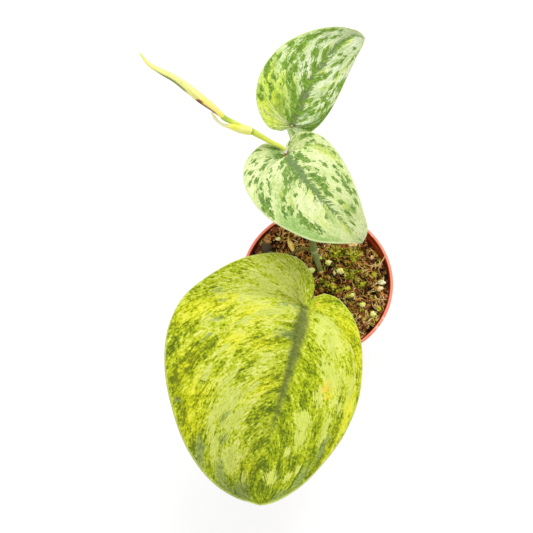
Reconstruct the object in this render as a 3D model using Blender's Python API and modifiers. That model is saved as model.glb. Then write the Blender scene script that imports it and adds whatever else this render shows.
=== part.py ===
"""Potted scindapsus: a young satin pothos with three leaves and a new shoot, in a small nursery pot.

Metres, +Z up. The origin is the middle of the pot's flat base, and the big leaf leans out towards -Y.
Lengths below are in millimetres and are multiplied by MM where a mesh is made.
"""
import math

import bmesh
import bpy
import numpy as np
from mathutils import Euler, Vector, noise

MM = 0.001

# Pot: a thin tapered plastic nursery pot with a narrow lip.
POT_RADIUS = 35.0
POT_HEIGHT = 60.0
POT_TAPER = math.radians(8)
LIP_WIDTH = 1.6
LIP_STEP = 0.7
LIP_HEIGHT = 6.0
WALL = 0.9
BASE_THICKNESS = 1.2
BASE_ROUND = 1.3
POT_STEPS = 64
DRAIN_HOLES = 6
DRAIN_RADIUS = 3.0
DRAIN_CIRCLE = 16.0

# Soil: fills the pot to just under the lip, and has sunk on one side.
SOIL_TOP = 58.6
SOIL_DIP = 5.0
DIP_DIRECTION = math.radians(45)
DIP_START = 12.0
DIP_END = 32.0
SOIL_LUMP = 0.5
SOIL_STEPS = 40
SOIL_RINGS = 9

# Every piece keeps this gap to its neighbour.
GAP = 0.3
LITTER_GAP = 0.4
BLADE_THICKNESS = 0.8

# A route is a list of (x, y, z, radius), smoothed into a round stem.
STEM_ROUTE = [
    (2.3, 3.8, 47.0, 1.4), (2.3, 4.0, 56.0, 1.55), (0.3, 8.2, 61.8, 1.55), (-1.5, 12.6, 66.4, 1.8),
    (-2.8, 15.8, 72.5, 1.45), (-5.0, 19.2, 83.0, 1.45), (-7.4, 23.2, 94.0, 1.85), (-10.4, 28.0, 106.0, 1.5),
    (-12.8, 31.6, 113.5, 1.6), (-14.2, 33.2, 118.0, 2.4),
]
STEM_POINTS = 36
AERIAL_ROOT_ROUTE = [
    (-3.8, 13.2, 66.4, 0.8), (-6.4, 13.9, 64.9, 0.85), (-9.6, 13.6, 62.5, 0.9), (-12.2, 11.9, 60.4, 0.75),
]
LARGE_PETIOLE_ROUTE = [
    (-3.6, 0.4, 47.0, 1.6), (-3.8, 0.2, 56.0, 1.7), (-4.2, -2.6, 67.0, 1.6), (-6.0, -8.6, 79.0, 1.5),
    (-8.4, -16.4, 90.0, 1.5),
]
PETIOLE_POINTS = 20
UPPER_PETIOLE_ROUTE = [
    (-7.8, 26.8, 95.2, 0.95), (-9.2, 32.2, 101.2, 1.15), (-11.0, 39.4, 108.4, 1.2),
    (-12.4, 46.4, 113.4, 1.4),
]
MIDDLE_PETIOLE_ROUTE = [(-14.4, 31.7, 119.2, 1.15), (-15.3, 31.3, 123.0, 1.05)]
LOWER_INTERNODE_ROUTE = [
    (-14.6, 34.7, 119.2, 1.05), (-15.4, 35.0, 124.0, 1.05), (-16.2, 35.25, 128.6, 1.0),
    (-18.5, 35.5, 132.8, 1.0), (-22.4, 35.4, 135.4, 1.05), (-26.0, 36.0, 137.8, 1.1),
    (-29.0, 36.3, 140.0, 1.35),
]
UPPER_INTERNODE_ROUTE = [
    (-29.5, 36.5, 140.4, 0.9), (-32.6, 36.8, 143.2, 0.85), (-35.8, 37.1, 146.3, 0.85),
    (-38.6, 37.4, 148.8, 0.9),
]
FURLED_LEAF_ROUTE = [
    (-39.1, 37.65, 149.25, 1.0), (-42.6, 39.8, 151.8, 1.5), (-46.4, 41.8, 154.2, 1.6),
    (-50.8, 44.3, 157.0, 1.5), (-56.0, 46.9, 160.4, 1.3), (-60.8, 48.0, 163.9, 1.0),
    (-64.6, 49.0, 167.2, 0.7), (-67.2, 51.1, 170.8, 0.3),
]
# The sheath is a trough that wraps the shoot from the front and narrows to a curled flap:
# (x, y, z, radius of its arc, half of the arc in degrees, turn of the arc's middle from below to the front).
SHEATH_ROUTE = [
    (-29.7, 36.5, 140.5, 1.6, 100.0, 115.0), (-32.8, 36.6, 143.1, 1.55, 92.0, 100.0),
    (-36.0, 36.5, 145.5, 1.4, 70.0, 62.0), (-39.2, 36.7, 145.8, 1.2, 58.0, 60.0),
    (-41.6, 37.3, 146.4, 1.0, 50.0, 60.0), (-43.2, 38.8, 147.8, 0.8, 45.0, 60.0),
    (-43.9, 40.5, 149.3, 0.6, 40.0, 60.0),
]
SHEATH_WALL = 0.35

# The leaves. A blade is drawn flat, with its stalk at the origin and its tip near +Y, then bent: it
# leaves the stalk at a pitch and droops, its halves rise in a shallow fold and arch down to the margin,
# and it is rolled and twisted about its midrib. Angles are in degrees.
LARGE_LEAF = {
    "junction": (-8.0, -22.4, 100.0), "heading": -103, "pitch": -6, "droop": 22, "roll": -24, "twist": 4,
    "fold": 8, "arch_right": 30, "arch_left": 36, "length": 86, "width": 50,
    "midrib": [(0, 0), (-0.2, 22), (0, 50), (-1.7, 69), (-5.2, 82.5)],
    "right": [(0.4, -15.2), (5.6, -18.2), (13.2, -18.8), (27.5, -14.2), (41, -3.4), (50, 9.6), (52, 21.5),
              (49.2, 36.6), (41.4, 52.4), (30, 67), (14, 78.2), (3, 81.8), (-5.2, 82.5)],
    "left": [(-7.2, -7.9), (-12, -7.8), (-18.6, -4.8), (-26.4, 2.8), (-32.4, 15.8), (-35, 31),
             (-32.4, 46.6), (-26.4, 59.4), (-18, 72.4), (-10.4, 79.6), (-5.2, 82.5)],
    "sinus_bow": (0.34, 0.2),
}
MIDDLE_LEAF = {
    "junction": (-15.55, 31.45, 129.0), "heading": -46, "pitch": -12, "droop": 14, "roll": -14, "twist": 0,
    "fold": 8, "arch_right": 24, "arch_left": 24, "length": 47, "width": 22,
    "midrib": [(0, 0), (1.2, 7), (1.1, 15), (0.8, 25), (-0.4, 34), (-1.8, 45.8)],
    "right": [(0.1, -5.8), (3.4, -8.8), (9, -9.5), (16, -7.9), (21, -3.3), (23.7, 4), (23.8, 12),
              (20.8, 22.2), (15.4, 32), (8.6, 38.4), (-1.8, 45.8)],
    "left": [(-5.8, -2.6), (-8.8, -3.5), (-14, -2.1), (-18.2, 2.8), (-19.6, 9.8), (-18, 19), (-14.2, 28.6),
             (-10.4, 36.6), (-6, 43.8), (-1.8, 45.8)],
    "sinus_bow": (0.12, 0.04),
}
UPPER_LEAF = {
    "junction": (-13.1, 49.7, 118.0), "heading": 56, "pitch": 12, "droop": 24, "roll": 22, "twist": 0,
    "fold": 8, "arch_right": 28, "arch_left": 24, "length": 56, "width": 22,
    "midrib": [(0, 0), (-1.9, 9), (-3.3, 20), (-2.7, 33), (-0.6, 42), (3.6, 50), (7.2, 51.8)],
    "right": [(3.2, -2.2), (6.4, -0.8), (9, 4.6), (10.2, 13), (9.8, 22), (8.8, 31), (8, 41), (7.8, 48),
              (7.2, 51.8)],
    "left": [(-2.4, -4.5), (-6.8, -6), (-12.4, -4.3), (-18, 0.3), (-21.6, 7.2), (-22.7, 15.4), (-20.9, 26),
             (-15.4, 36.2), (-9.2, 43.8), (-2.2, 49.7), (4, 52.3), (7.2, 51.8)],
    "sinus_bow": (0.1, 0.12),
}
BLADE_ROWS = 24
BLADE_COLUMNS = 6
# Lobe veins fan from the stalk up to this share of the margin; the rest leave along the midrib.
FAN_SHARE = 0.42
VEIN_BOW = 0.24

# Grit and litter on the soil: (x, y, radius).
PERLITE = [
    (5.3, 8.5, 1.7), (10.8, 4.5, 1.9), (-2.2, 5.0, 1.7), (20.4, -11.6, 1.6), (25.2, -15.8, 1.6),
    (15.9, -6.9, 1.4), (29.6, -1.0, 1.6), (-17.8, 20.3, 1.2), (-10.0, 10.9, 1.2), (1.8, 10.9, 0.9),
]
MOSS = [(10.0, 13.6, 6.0), (17.2, 3.8, 5.0), (8.6, -3.4, 4.2), (17.8, 14.2, 4.4)]
# (x, y, length, width, turn in degrees)
BARK = [(17.6, 19.4, 5.6, 3.0, 20), (-22.8, 20.2, 5.0, 2.6, 75), (-22.2, 12.0, 6.4, 4.6, 10)]
MOSS_HEIGHT = 1.4
BARK_HEIGHT = 1.3
ROOT_FIBRE = [(20.6, 10.0), (24.4, 8.0), (27.4, 8.6), (28.6, 12.6)]
ROOT_FIBRE_RADIUS = 0.45


def smooth_curve(points):
    """A smooth curve through the points, as a function of 0 to 1 along it."""
    points = np.array(points, float)
    steps = np.linalg.norm(np.diff(points, axis=0), axis=1)
    knots = np.concatenate(([0.0], np.cumsum(steps))) / steps.sum()
    slopes = np.gradient(points, knots, axis=0)

    def at(share):
        i = int(np.clip(np.searchsorted(knots, share) - 1, 0, len(knots) - 2))
        span = knots[i + 1] - knots[i]
        f = (share - knots[i]) / span
        start = (1 + 2 * f) * (1 - f) ** 2 * points[i] + f * (1 - f) ** 2 * span * slopes[i]
        end = f * f * (3 - 2 * f) * points[i + 1] - f * f * (1 - f) * span * slopes[i + 1]
        return start + end

    return at


def smoothstep(low, high, value):
    """0 below low, 1 above high and a smooth ramp between."""
    x = min(max((value - low) / (high - low), 0.0), 1.0)
    return x * x * (3 - 2 * x)


def make_material(name, color, roughness):
    material = bpy.data.materials.new(name)
    material.use_nodes = True
    shader = material.node_tree.nodes["Principled BSDF"]
    shader.inputs["Base Color"].default_value = (*color, 1.0)
    shader.inputs["Roughness"].default_value = roughness
    shader.inputs["Metallic"].default_value = 0.0
    material.diffuse_color = (*color, 1.0)
    return material


def add_object(name, data, look, collection):
    """Adds an object of its own material; look is (colour, roughness)."""
    item = bpy.data.objects.new(name, data)
    collection.objects.link(item)
    data.materials.append(make_material(name, *look))
    return item


def mesh_from(bm, name):
    mesh = bpy.data.meshes.new(name)
    bm.to_mesh(mesh)
    bm.free()
    mesh.shade_smooth()
    mesh.set_sharp_from_angle(angle=math.radians(40))
    return mesh


def turned(name, profile, steps, look, collection):
    """A profile of (radius, height), listed down its outer side, turned about Z."""
    mesh = bpy.data.meshes.new(name)
    points = [(r * MM, 0.0, z * MM) for r, z in profile]
    mesh.from_pydata(points, [(i, i + 1) for i in range(len(points) - 1)], [])
    item = add_object(name, mesh, look, collection)
    screw = item.modifiers.new("turn", "SCREW")
    screw.steps = screw.render_steps = steps
    screw.use_merge_vertices = True
    screw.merge_threshold = 0.00001
    screw.use_smooth_shade = True
    return item


def applied(item):
    """Replaces an object's data by the mesh its modifiers or bevel make, with loose caps welded."""
    bpy.context.view_layer.update()
    graph = bpy.context.evaluated_depsgraph_get()
    mesh = bpy.data.meshes.new_from_object(item.evaluated_get(graph))
    bm = bmesh.new()
    bm.from_mesh(mesh)
    bmesh.ops.remove_doubles(bm, verts=bm.verts, dist=0.00001)
    bm.to_mesh(mesh)
    bm.free()
    solid = bpy.data.objects.new(item.name + "_solid", mesh)
    item.users_collection[0].objects.link(solid)
    solid.matrix_world = item.matrix_world
    name = item.name
    bpy.data.objects.remove(item)
    solid.name = name
    return solid


def cut(item, cutter):
    cutter.hide_render = True
    cutter.display_type = "WIRE"
    boolean = item.modifiers.new("cut", "BOOLEAN")
    boolean.operation = "DIFFERENCE"
    boolean.solver = "EXACT"
    boolean.object = cutter


def tube(name, route, points, look, collection, grow=0.0):
    """A round stem along a smoothed route, grown by a clearance where it is a cutter."""
    path = smooth_curve(route)
    curve = bpy.data.curves.new(name, "CURVE")
    curve.dimensions = "3D"
    curve.bevel_depth = MM
    curve.bevel_resolution = 3
    curve.use_fill_caps = True
    spline = curve.splines.new("POLY")
    spline.points.add(points - 1)
    for i, point in enumerate(spline.points):
        x, y, z, radius = path(i / (points - 1))
        point.co = (x * MM, y * MM, z * MM, 1.0)
        point.radius = radius + grow
    return add_object(name, curve, look, collection)


def bend_line(start, bend, distance):
    """How far a line goes along and up when its slope starts at start and falls by bend a unit."""
    if abs(bend) < 1e-9:
        return distance * math.cos(start), distance * math.sin(start)
    end = start - bend * distance
    return (math.sin(start) - math.sin(end)) / bend, (math.cos(end) - math.cos(start)) / bend


def leaf_axes(leaf):
    """The blade's forward, sideways and upward directions at its stalk, before it is rolled."""
    heading = math.radians(leaf["heading"])
    pitch = math.radians(leaf["pitch"])
    level = Vector((math.cos(heading), math.sin(heading), 0.0))
    side = Vector((math.sin(heading), -math.cos(heading), 0.0))
    forward = level * math.cos(pitch) + Vector((0, 0, math.sin(pitch)))
    upward = Vector((0, 0, math.cos(pitch))) - level * math.sin(pitch)
    return forward, side, upward


def bend_leaf(leaf, x, y):
    """The place in space, in millimetres, of a point of the flat blade."""
    forward, side, upward = leaf_axes(leaf)
    droop = math.radians(leaf["droop"]) / leaf["length"]
    along, rise = bend_line(0.0, droop, y)
    slope = -droop * y
    arch = math.radians(leaf["arch_right"] if x > 0 else leaf["arch_left"]) / leaf["width"]
    across, lift = bend_line(math.radians(leaf["fold"]), arch, abs(x))
    along -= math.sin(slope) * lift
    rise += math.cos(slope) * lift
    across = math.copysign(across, x)
    roll = math.radians(leaf["roll"] + leaf["twist"] * y / leaf["length"])
    sideways = across * math.cos(roll) + rise * math.sin(roll)
    rise = rise * math.cos(roll) - across * math.sin(roll)
    return Vector(leaf["junction"]) + forward * along + side * sideways + upward * rise


def under_leaf(leaf, depth):
    """A point this far below the blade where its stalk joins."""
    _, side, upward = leaf_axes(leaf)
    roll = math.radians(leaf["roll"])
    down = -(upward * math.cos(roll) + side * math.sin(roll))
    return tuple(Vector(leaf["junction"]) + down * depth)


def flat_blade_point(leaf, midrib, margin, turn, sinus_bow, share, across):
    """A point of the flat blade: share runs from the sinus to the tip, across from midrib to margin."""
    along_midrib = max(0.0, (share - FAN_SHARE) / (1 - FAN_SHARE))
    start = midrib(along_midrib)
    end = margin(share)
    chord = end - start
    bow = sinus_bow + (VEIN_BOW - sinus_bow) * smoothstep(0.0, 0.3, share)
    middle = (start + end) / 2 + bow * turn * np.array((chord[1], -chord[0]))
    return (1 - across) ** 2 * start + 2 * across * (1 - across) * middle + across ** 2 * end


def blade(name, leaf, look, collection):
    """A leaf blade: a grid laid along the veins, bent to its pose and thickened."""
    midrib = smooth_curve(leaf["midrib"])
    margins = {1: smooth_curve(leaf["right"]), -1: smooth_curve(leaf["left"])}
    bows = dict(zip((1, -1), leaf["sinus_bow"]))
    bm = bmesh.new()
    bmesh.ops.create_grid(bm, x_segments=2 * BLADE_COLUMNS, y_segments=BLADE_ROWS, size=1.0)
    for vert in bm.verts:
        half = 1 if vert.co.x > 0 else -1
        share = (vert.co.y + 1) / 2
        x, y = flat_blade_point(leaf, midrib, margins[half], half, bows[half], share, abs(vert.co.x))
        vert.co = bend_leaf(leaf, x, y) * MM
    bmesh.ops.remove_doubles(bm, verts=bm.verts, dist=0.00002)
    bmesh.ops.recalc_face_normals(bm, faces=bm.faces)
    if sum(face.normal.z for face in bm.faces) < 0:
        bmesh.ops.reverse_faces(bm, faces=bm.faces)
    item = add_object(name, mesh_from(bm, name), look, collection)
    solidify = item.modifiers.new("thickness", "SOLIDIFY")
    solidify.thickness = BLADE_THICKNESS * MM
    solidify.offset = 0.0
    return item


def soil_height(x, y):
    """Height of the soil's surface in millimetres: level, lumpy, and sunk at one side."""
    outward = x * math.cos(DIP_DIRECTION) + y * math.sin(DIP_DIRECTION)
    aside = y * math.cos(DIP_DIRECTION) - x * math.sin(DIP_DIRECTION)
    dip = SOIL_DIP * smoothstep(DIP_START, DIP_END, outward) * (1 - smoothstep(6, 24, abs(aside)))
    return SOIL_TOP - dip + SOIL_LUMP * noise.noise(Vector((x, y, 0)) / 7)


def inner_radius(z):
    """Radius of the pot's inner wall at a height."""
    return POT_RADIUS - LIP_WIDTH - (POT_HEIGHT - z) * math.tan(POT_TAPER)


def make_pot(collection, cutters):
    def outer_radius(z):
        return POT_RADIUS - (POT_HEIGHT - z) * math.tan(POT_TAPER)

    lip_bottom = POT_HEIGHT - LIP_HEIGHT
    edge = LIP_WIDTH / 4
    middle = POT_RADIUS - LIP_WIDTH / 2
    profile = [
        (middle, POT_HEIGHT), (POT_RADIUS - edge / 2, POT_HEIGHT - edge / 3),
        (POT_RADIUS, POT_HEIGHT - edge), (outer_radius(lip_bottom), lip_bottom),
        (inner_radius(lip_bottom) + WALL, lip_bottom - LIP_STEP),
        (inner_radius(BASE_ROUND) + WALL, BASE_ROUND), (inner_radius(0) + WALL - BASE_ROUND, 0.0),
        (0.0, 0.0), (0.0, BASE_THICKNESS), (inner_radius(BASE_THICKNESS), BASE_THICKNESS),
        (inner_radius(POT_HEIGHT - edge), POT_HEIGHT - edge),
        (POT_RADIUS - LIP_WIDTH + edge / 2, POT_HEIGHT - edge / 3), (middle, POT_HEIGHT),
    ]
    pot = applied(turned("pot", profile, POT_STEPS, ((0.62, 0.16, 0.08), 0.45), collection))
    for i in range(DRAIN_HOLES):
        angle = math.tau * i / DRAIN_HOLES
        bm = bmesh.new()
        bmesh.ops.create_cone(
            bm, cap_ends=True, segments=16, radius1=DRAIN_RADIUS * MM, radius2=DRAIN_RADIUS * MM,
            depth=4 * BASE_THICKNESS * MM)
        cutter = add_object(f"drain_cutter_{i + 1}", mesh_from(bm, "drain"), ((1, 1, 1), 0.5), cutters)
        cutter.location = Vector((math.cos(angle), math.sin(angle), 0)) * DRAIN_CIRCLE * MM
        cut(pot, cutter)
    return pot


def make_soil(collection, cutters):
    """The root ball, with pockets for the buried ends of the stem and the big leaf's stalk."""
    bottom = BASE_THICKNESS + GAP
    rim = inner_radius(SOIL_TOP) - GAP
    top_rings = [(rim * i / SOIL_RINGS, SOIL_TOP) for i in range(SOIL_RINGS + 1)]
    profile = top_rings + [(inner_radius(bottom) - GAP, bottom), (0.0, bottom)]
    soil = applied(turned("soil", profile, SOIL_STEPS, ((0.11, 0.05, 0.025), 0.95), collection))
    top = (SOIL_TOP - GAP) * MM
    for vert in soil.data.vertices:
        if vert.co.z > top:
            x, y = vert.co.x / MM, vert.co.y / MM
            height = soil_height(x, y)
            reach = (inner_radius(height) - GAP) / rim
            vert.co = Vector((x * reach, y * reach, height)) * MM
    buried = (
        ("stem_pocket", STEM_ROUTE, STEM_POINTS),
        ("petiole_pocket", LARGE_PETIOLE_ROUTE, PETIOLE_POINTS),
    )
    for name, route, points in buried:
        x, y, z, radius = route[0]
        deeper = [(x, y, z - GAP, radius)] + route[1:]
        cut(soil, applied(tube(name, deeper, points, ((1, 1, 1), 0.5), cutters, grow=GAP)))
    return soil


def make_stems(collection):
    green = ((0.16, 0.25, 0.07), 0.5)
    pale = ((0.42, 0.46, 0.14), 0.45)
    tube("main_stem", STEM_ROUTE, STEM_POINTS, green, collection)
    tube("aerial_root", AERIAL_ROOT_ROUTE, 8, ((0.15, 0.12, 0.04), 0.8), collection)
    stalks = (
        ("large_leaf_petiole", LARGE_PETIOLE_ROUTE, LARGE_LEAF, PETIOLE_POINTS),
        ("middle_leaf_petiole", MIDDLE_PETIOLE_ROUTE, MIDDLE_LEAF, 7),
        ("upper_leaf_petiole", UPPER_PETIOLE_ROUTE, UPPER_LEAF, 16),
    )
    for name, route, leaf, points in stalks:
        radius = route[-1][3]
        clear = BLADE_THICKNESS / 2 + GAP
        last = [(*under_leaf(leaf, clear + 2.6), radius), (*under_leaf(leaf, clear), radius)]
        tube(name, route + last, points, green, collection)
    tube("shoot_lower_internode", LOWER_INTERNODE_ROUTE, 18, pale, collection)
    tube("shoot_upper_internode", UPPER_INTERNODE_ROUTE, 9, pale, collection)
    tube("furled_new_leaf", FURLED_LEAF_ROUTE, 20, ((0.72, 0.70, 0.22), 0.4), collection)


def make_sheath(collection):
    """The split papery sheath round the shoot: a trough that narrows to a curled flap."""
    path = smooth_curve(SHEATH_ROUTE)
    rows, columns = 18, 8
    bm = bmesh.new()
    bmesh.ops.create_grid(bm, x_segments=columns, y_segments=rows, size=1.0)
    for vert in bm.verts:
        share = (vert.co.y + 1) / 2
        x, y, z, radius, half_angle, turn = path(share)
        ahead = Vector(path(min(share + 0.02, 1))[:3]) - Vector(path(max(share - 0.02, 0))[:3])
        ahead.normalize()
        side = ahead.cross(Vector((0, 0, 1))).normalized()
        upward = side.cross(ahead)
        angle = math.radians(turn + half_angle * vert.co.x)
        place = Vector((x, y, z)) - (side * math.sin(angle) + upward * math.cos(angle)) * radius
        vert.co = place * MM
    sheath = add_object("shoot_sheath", mesh_from(bm, "shoot_sheath"), ((0.78, 0.74, 0.36), 0.5), collection)
    solidify = sheath.modifiers.new("thickness", "SOLIDIFY")
    solidify.thickness = SHEATH_WALL * MM
    solidify.offset = 0.0


def seat(bm):
    """Lifts a shaped piece until it just clears the soil."""
    lift = max(soil_height(v.co.x / MM, v.co.y / MM) - v.co.z / MM for v in bm.verts)
    bmesh.ops.translate(bm, verts=bm.verts, vec=(0, 0, (lift + LITTER_GAP) * MM))


def lump(name, x, y, size, look, collection):
    """An irregular grain or cushion of (half length, half width, half height), seated on the soil."""
    bm = bmesh.new()
    bmesh.ops.create_icosphere(bm, subdivisions=2, radius=1.0)
    for vert in bm.verts:
        swell = 1 + 0.25 * noise.noise(vert.co * 1.3 + Vector((x, y, 0)))
        vert.co = Vector((x, y, 0)) * MM + Vector(a * b for a, b in zip(vert.co, size)) * swell * MM
    seat(bm)
    add_object(name, mesh_from(bm, name), look, collection)


def make_litter(collection):
    """Perlite grains, moss cushions, bark chips and a loose root fibre, each seated on the soil."""
    for i, (x, y, radius) in enumerate(PERLITE):
        size = (radius, radius * 0.85, radius * 0.8)
        lump(f"perlite_grain_{i + 1}", x, y, size, ((0.86, 0.86, 0.74), 0.9), collection)
    for i, (x, y, radius) in enumerate(MOSS):
        size = (radius, radius * 0.7, MOSS_HEIGHT / 2)
        lump(f"moss_cushion_{i + 1}", x, y, size, ((0.20, 0.30, 0.03), 0.95), collection)
    for i, (x, y, length, width, turn) in enumerate(BARK):
        bm = bmesh.new()
        bmesh.ops.create_cube(bm, size=1.0)
        bmesh.ops.subdivide_edges(bm, edges=bm.edges, cuts=2, use_grid_fill=True)
        angle = math.radians(turn)
        for vert in bm.verts:
            narrow = 1 - 0.8 * vert.co.x ** 2
            flat = Vector((vert.co.x * length, vert.co.y * width * narrow, vert.co.z * BARK_HEIGHT))
            flat.rotate(Euler((0, 0, angle)))
            vert.co = (flat + Vector((x, y, 0))) * MM
        seat(bm)
        add_object(f"bark_chip_{i + 1}", mesh_from(bm, "bark_chip"), ((0.30, 0.16, 0.07), 0.9), collection)
    clear = ROOT_FIBRE_RADIUS + 2 * GAP
    route = [(x, y, soil_height(x, y) + clear, ROOT_FIBRE_RADIUS) for x, y in ROOT_FIBRE]
    tube("root_fibre", route, 12, ((0.60, 0.38, 0.26), 0.8), collection)


def make_blades(collection):
    blade("large_leaf_blade", LARGE_LEAF, ((0.46, 0.56, 0.06), 0.45), collection)
    blade("middle_leaf_blade", MIDDLE_LEAF, ((0.36, 0.52, 0.20), 0.5), collection)
    blade("upper_leaf_blade", UPPER_LEAF, ((0.26, 0.42, 0.12), 0.5), collection)


for old in list(bpy.data.objects):
    bpy.data.objects.remove(old)
plant = bpy.data.collections.new("potted_scindapsus")
cutting = bpy.data.collections.new("cutters")
for group in (plant, cutting):
    bpy.context.scene.collection.children.link(group)

make_pot(plant, cutting)
make_soil(plant, cutting)
make_stems(plant)
make_sheath(plant)
make_blades(plant)
make_litter(plant)
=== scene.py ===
import math
import random

import bpy
import numpy as np
from mathutils import Euler, Matrix, Vector, noise


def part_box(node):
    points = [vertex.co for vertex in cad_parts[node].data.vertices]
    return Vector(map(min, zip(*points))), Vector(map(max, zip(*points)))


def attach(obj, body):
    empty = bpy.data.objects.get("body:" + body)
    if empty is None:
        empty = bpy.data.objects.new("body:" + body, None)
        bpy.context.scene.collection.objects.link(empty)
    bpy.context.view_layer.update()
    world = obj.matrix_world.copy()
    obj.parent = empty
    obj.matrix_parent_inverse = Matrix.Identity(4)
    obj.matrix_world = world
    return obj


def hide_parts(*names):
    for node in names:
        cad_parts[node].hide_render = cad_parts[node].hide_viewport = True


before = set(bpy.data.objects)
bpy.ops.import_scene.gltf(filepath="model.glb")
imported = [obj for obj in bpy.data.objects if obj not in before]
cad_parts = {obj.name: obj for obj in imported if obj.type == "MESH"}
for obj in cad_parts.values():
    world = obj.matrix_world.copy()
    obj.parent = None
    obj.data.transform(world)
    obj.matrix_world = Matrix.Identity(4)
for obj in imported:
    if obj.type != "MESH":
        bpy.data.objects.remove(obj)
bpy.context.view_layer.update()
bpy.ops.object.select_all(action="DESELECT")


# Studio. The potted scindapsus stands on a white floor under a white sky, lit by one broad lamp above and
# behind it and a weak one in front. The camera looks steeply down on it from the side of the largest leaf.
# Places and sizes here are in metres. Each lamp is (name, place, size, power).
CAMERA_AT = (-0.02332, -0.09762, 0.41481)
CAMERA_ELEVATION = 73.6
CAMERA_LENS = 54.0
SKY = 0.62
LAMPS = [
    ("back_lamp", (0.10, 0.40, 0.78), 0.42, 3.9),
    ("front_lamp", (-0.45, -0.55, 0.65), 0.60, 1.3),
]
LAMP_TARGET = (0, 0, 0.08)
FLOOR_RADIUS = 3.0
FLOOR_DROP = 0.0002
# How white the floor is for the light it bounces, and for the shadows seen on it. Where it's seen it also
# glows, by CARD_GLOW round the plant and fully past the far end of GLOW_REACH.
CARD_WHITE = 0.8
CARD_SHADOWED = 0.42
CARD_GLOW = 0.66
GLOW_REACH = (0.2, 0.7)


def fill(look, made, sockets):
    """Gives each named socket of a node a plain value or another node's output."""
    for key, value in sockets.items():
        if isinstance(value, bpy.types.NodeSocket):
            look.node_tree.links.new(value, made.inputs[key])
        else:
            made.inputs[key].default_value = value


def node(look, kind, sockets=None, **settings):
    """Adds a shader node to a material or world."""
    made = look.node_tree.nodes.new("ShaderNode" + kind)
    for name, value in settings.items():
        setattr(made, name, value)
    fill(look, made, sockets or {})
    return made


def math_node(look, operation, *values):
    return node(look, "Math", dict(enumerate(values)), operation=operation).outputs[0]


def fade(look, value, low, high):
    """0 below low, 1 above high and a smooth ramp between."""
    made = node(look, "MapRange", {"Value": value, "From Min": low, "From Max": high},
                interpolation_type="SMOOTHSTEP")
    return made.outputs["Result"]


def seen_directly(look):
    """1 where the camera, a reflection or a see-through part shows the surface, 0 for its bounced light."""
    path = node(look, "LightPath").outputs
    shown = math_node(look, "MAXIMUM", path["Is Camera Ray"], path["Is Glossy Ray"])
    return math_node(look, "MAXIMUM", shown, path["Is Transmission Ray"])


def make_studio():
    bpy.ops.object.camera_add(location=CAMERA_AT, rotation=(math.radians(90 - CAMERA_ELEVATION), 0, 0))
    camera = bpy.context.object
    camera.data.lens = CAMERA_LENS
    camera.data.clip_start = 0.01
    bpy.context.scene.camera = camera
    for name, place, size, power in LAMPS:
        bpy.ops.object.light_add(type="AREA", location=place)
        lamp = bpy.context.object
        lamp.name = name
        lamp.rotation_euler = (Vector(LAMP_TARGET) - Vector(place)).to_track_quat("-Z", "Y").to_euler()
        lamp.data.shape = "DISK"
        lamp.data.size = size
        lamp.data.energy = power
    world = bpy.data.worlds.new("white_sky")
    world.use_nodes = True
    bpy.context.scene.world = world
    world.node_tree.nodes.clear()
    strength = math_node(world, "MAXIMUM", seen_directly(world), SKY)
    sky = node(world, "Background", {"Color": (1, 1, 1, 1), "Strength": strength})
    node(world, "OutputWorld", {"Surface": sky.outputs[0]})

    bpy.ops.mesh.primitive_circle_add(vertices=96, radius=FLOOR_RADIUS, fill_type="NGON",
                                      location=(0, 0, -FLOOR_DROP))
    floor = bpy.context.object
    floor.name = "floor"
    card = bpy.data.materials.new("white_card")
    card.use_nodes = True
    card.node_tree.nodes.clear()
    bounced, shadowed = (node(card, "BsdfDiffuse", {"Color": (white, white, white, 1)}).outputs[0]
                         for white in (CARD_WHITE, CARD_SHADOWED))
    place = node(card, "TexCoord").outputs["Object"]
    away = node(card, "VectorMath", {0: place}, operation="LENGTH").outputs["Value"]
    strength = math_node(card, "MULTIPLY_ADD", fade(card, away, *GLOW_REACH), 1 - CARD_GLOW, CARD_GLOW)
    glow = node(card, "Emission", {"Color": (1, 1, 1, 1), "Strength": strength})
    shown = node(card, "AddShader", {0: shadowed, 1: glow.outputs[0]})
    both = node(card, "MixShader", {0: seen_directly(card), 1: bounced, 2: shown.outputs[0]})
    node(card, "OutputMaterial", {"Surface": both.outputs[0]})
    floor.data.materials.append(card)
    bpy.context.scene.view_settings.view_transform = "Standard"


make_studio()


# Pot. A round nursery pot with a thin lip, blow-moulded in terracotta-coloured plastic. The wall is under a
# millimetre thick; the lip is a folded band, and six round holes drain the base.
# From here on sizes are in millimetres, times MM where a mesh is made, and colours are display values of
# 0 to 255.
MM = 0.001
WALL = 0.9
LIP_WIDTH = 1.6
LIP_HEIGHT = 6.0
LIP_STEP = 0.7
BASE_THICKNESS = 1.2
BASE_ROUND = 1.3
TAPER = math.tan(math.radians(8))
DRAIN_HOLES = 6
DRAIN_RADIUS = 3.0
DRAIN_CIRCLE = 16.0
DUST_HEIGHT = 26.0
SHARP_ANGLE = 40
POT_SIDES = 144
POT_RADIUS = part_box("pot")[1].x / MM
POT_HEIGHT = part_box("pot")[1].z / MM


def paint(red, green, blue):
    """A display colour as the linear colour that a shader takes."""
    def linear(value):
        value /= 255
        return value / 12.92 if value <= 0.04045 else ((value + 0.055) / 1.055) ** 2.4

    return (linear(red), linear(green), linear(blue), 1.0)


def plus(look, base, value, by=1.0):
    """A base plus a value times by."""
    return math_node(look, "MULTIPLY_ADD", value, by, base)


def times(look, first, second):
    return math_node(look, "MULTIPLY", first, second)


def blend(look, share, first, second):
    """The first colour where share is 0 and the second where it's 1, each an output or display values."""
    first, second = (color if isinstance(color, bpy.types.NodeSocket) else paint(*color)
                     for color in (first, second))
    return node(look, "Mix", {0: share, 6: first, 7: second}, data_type="RGBA").outputs[2]


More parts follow.
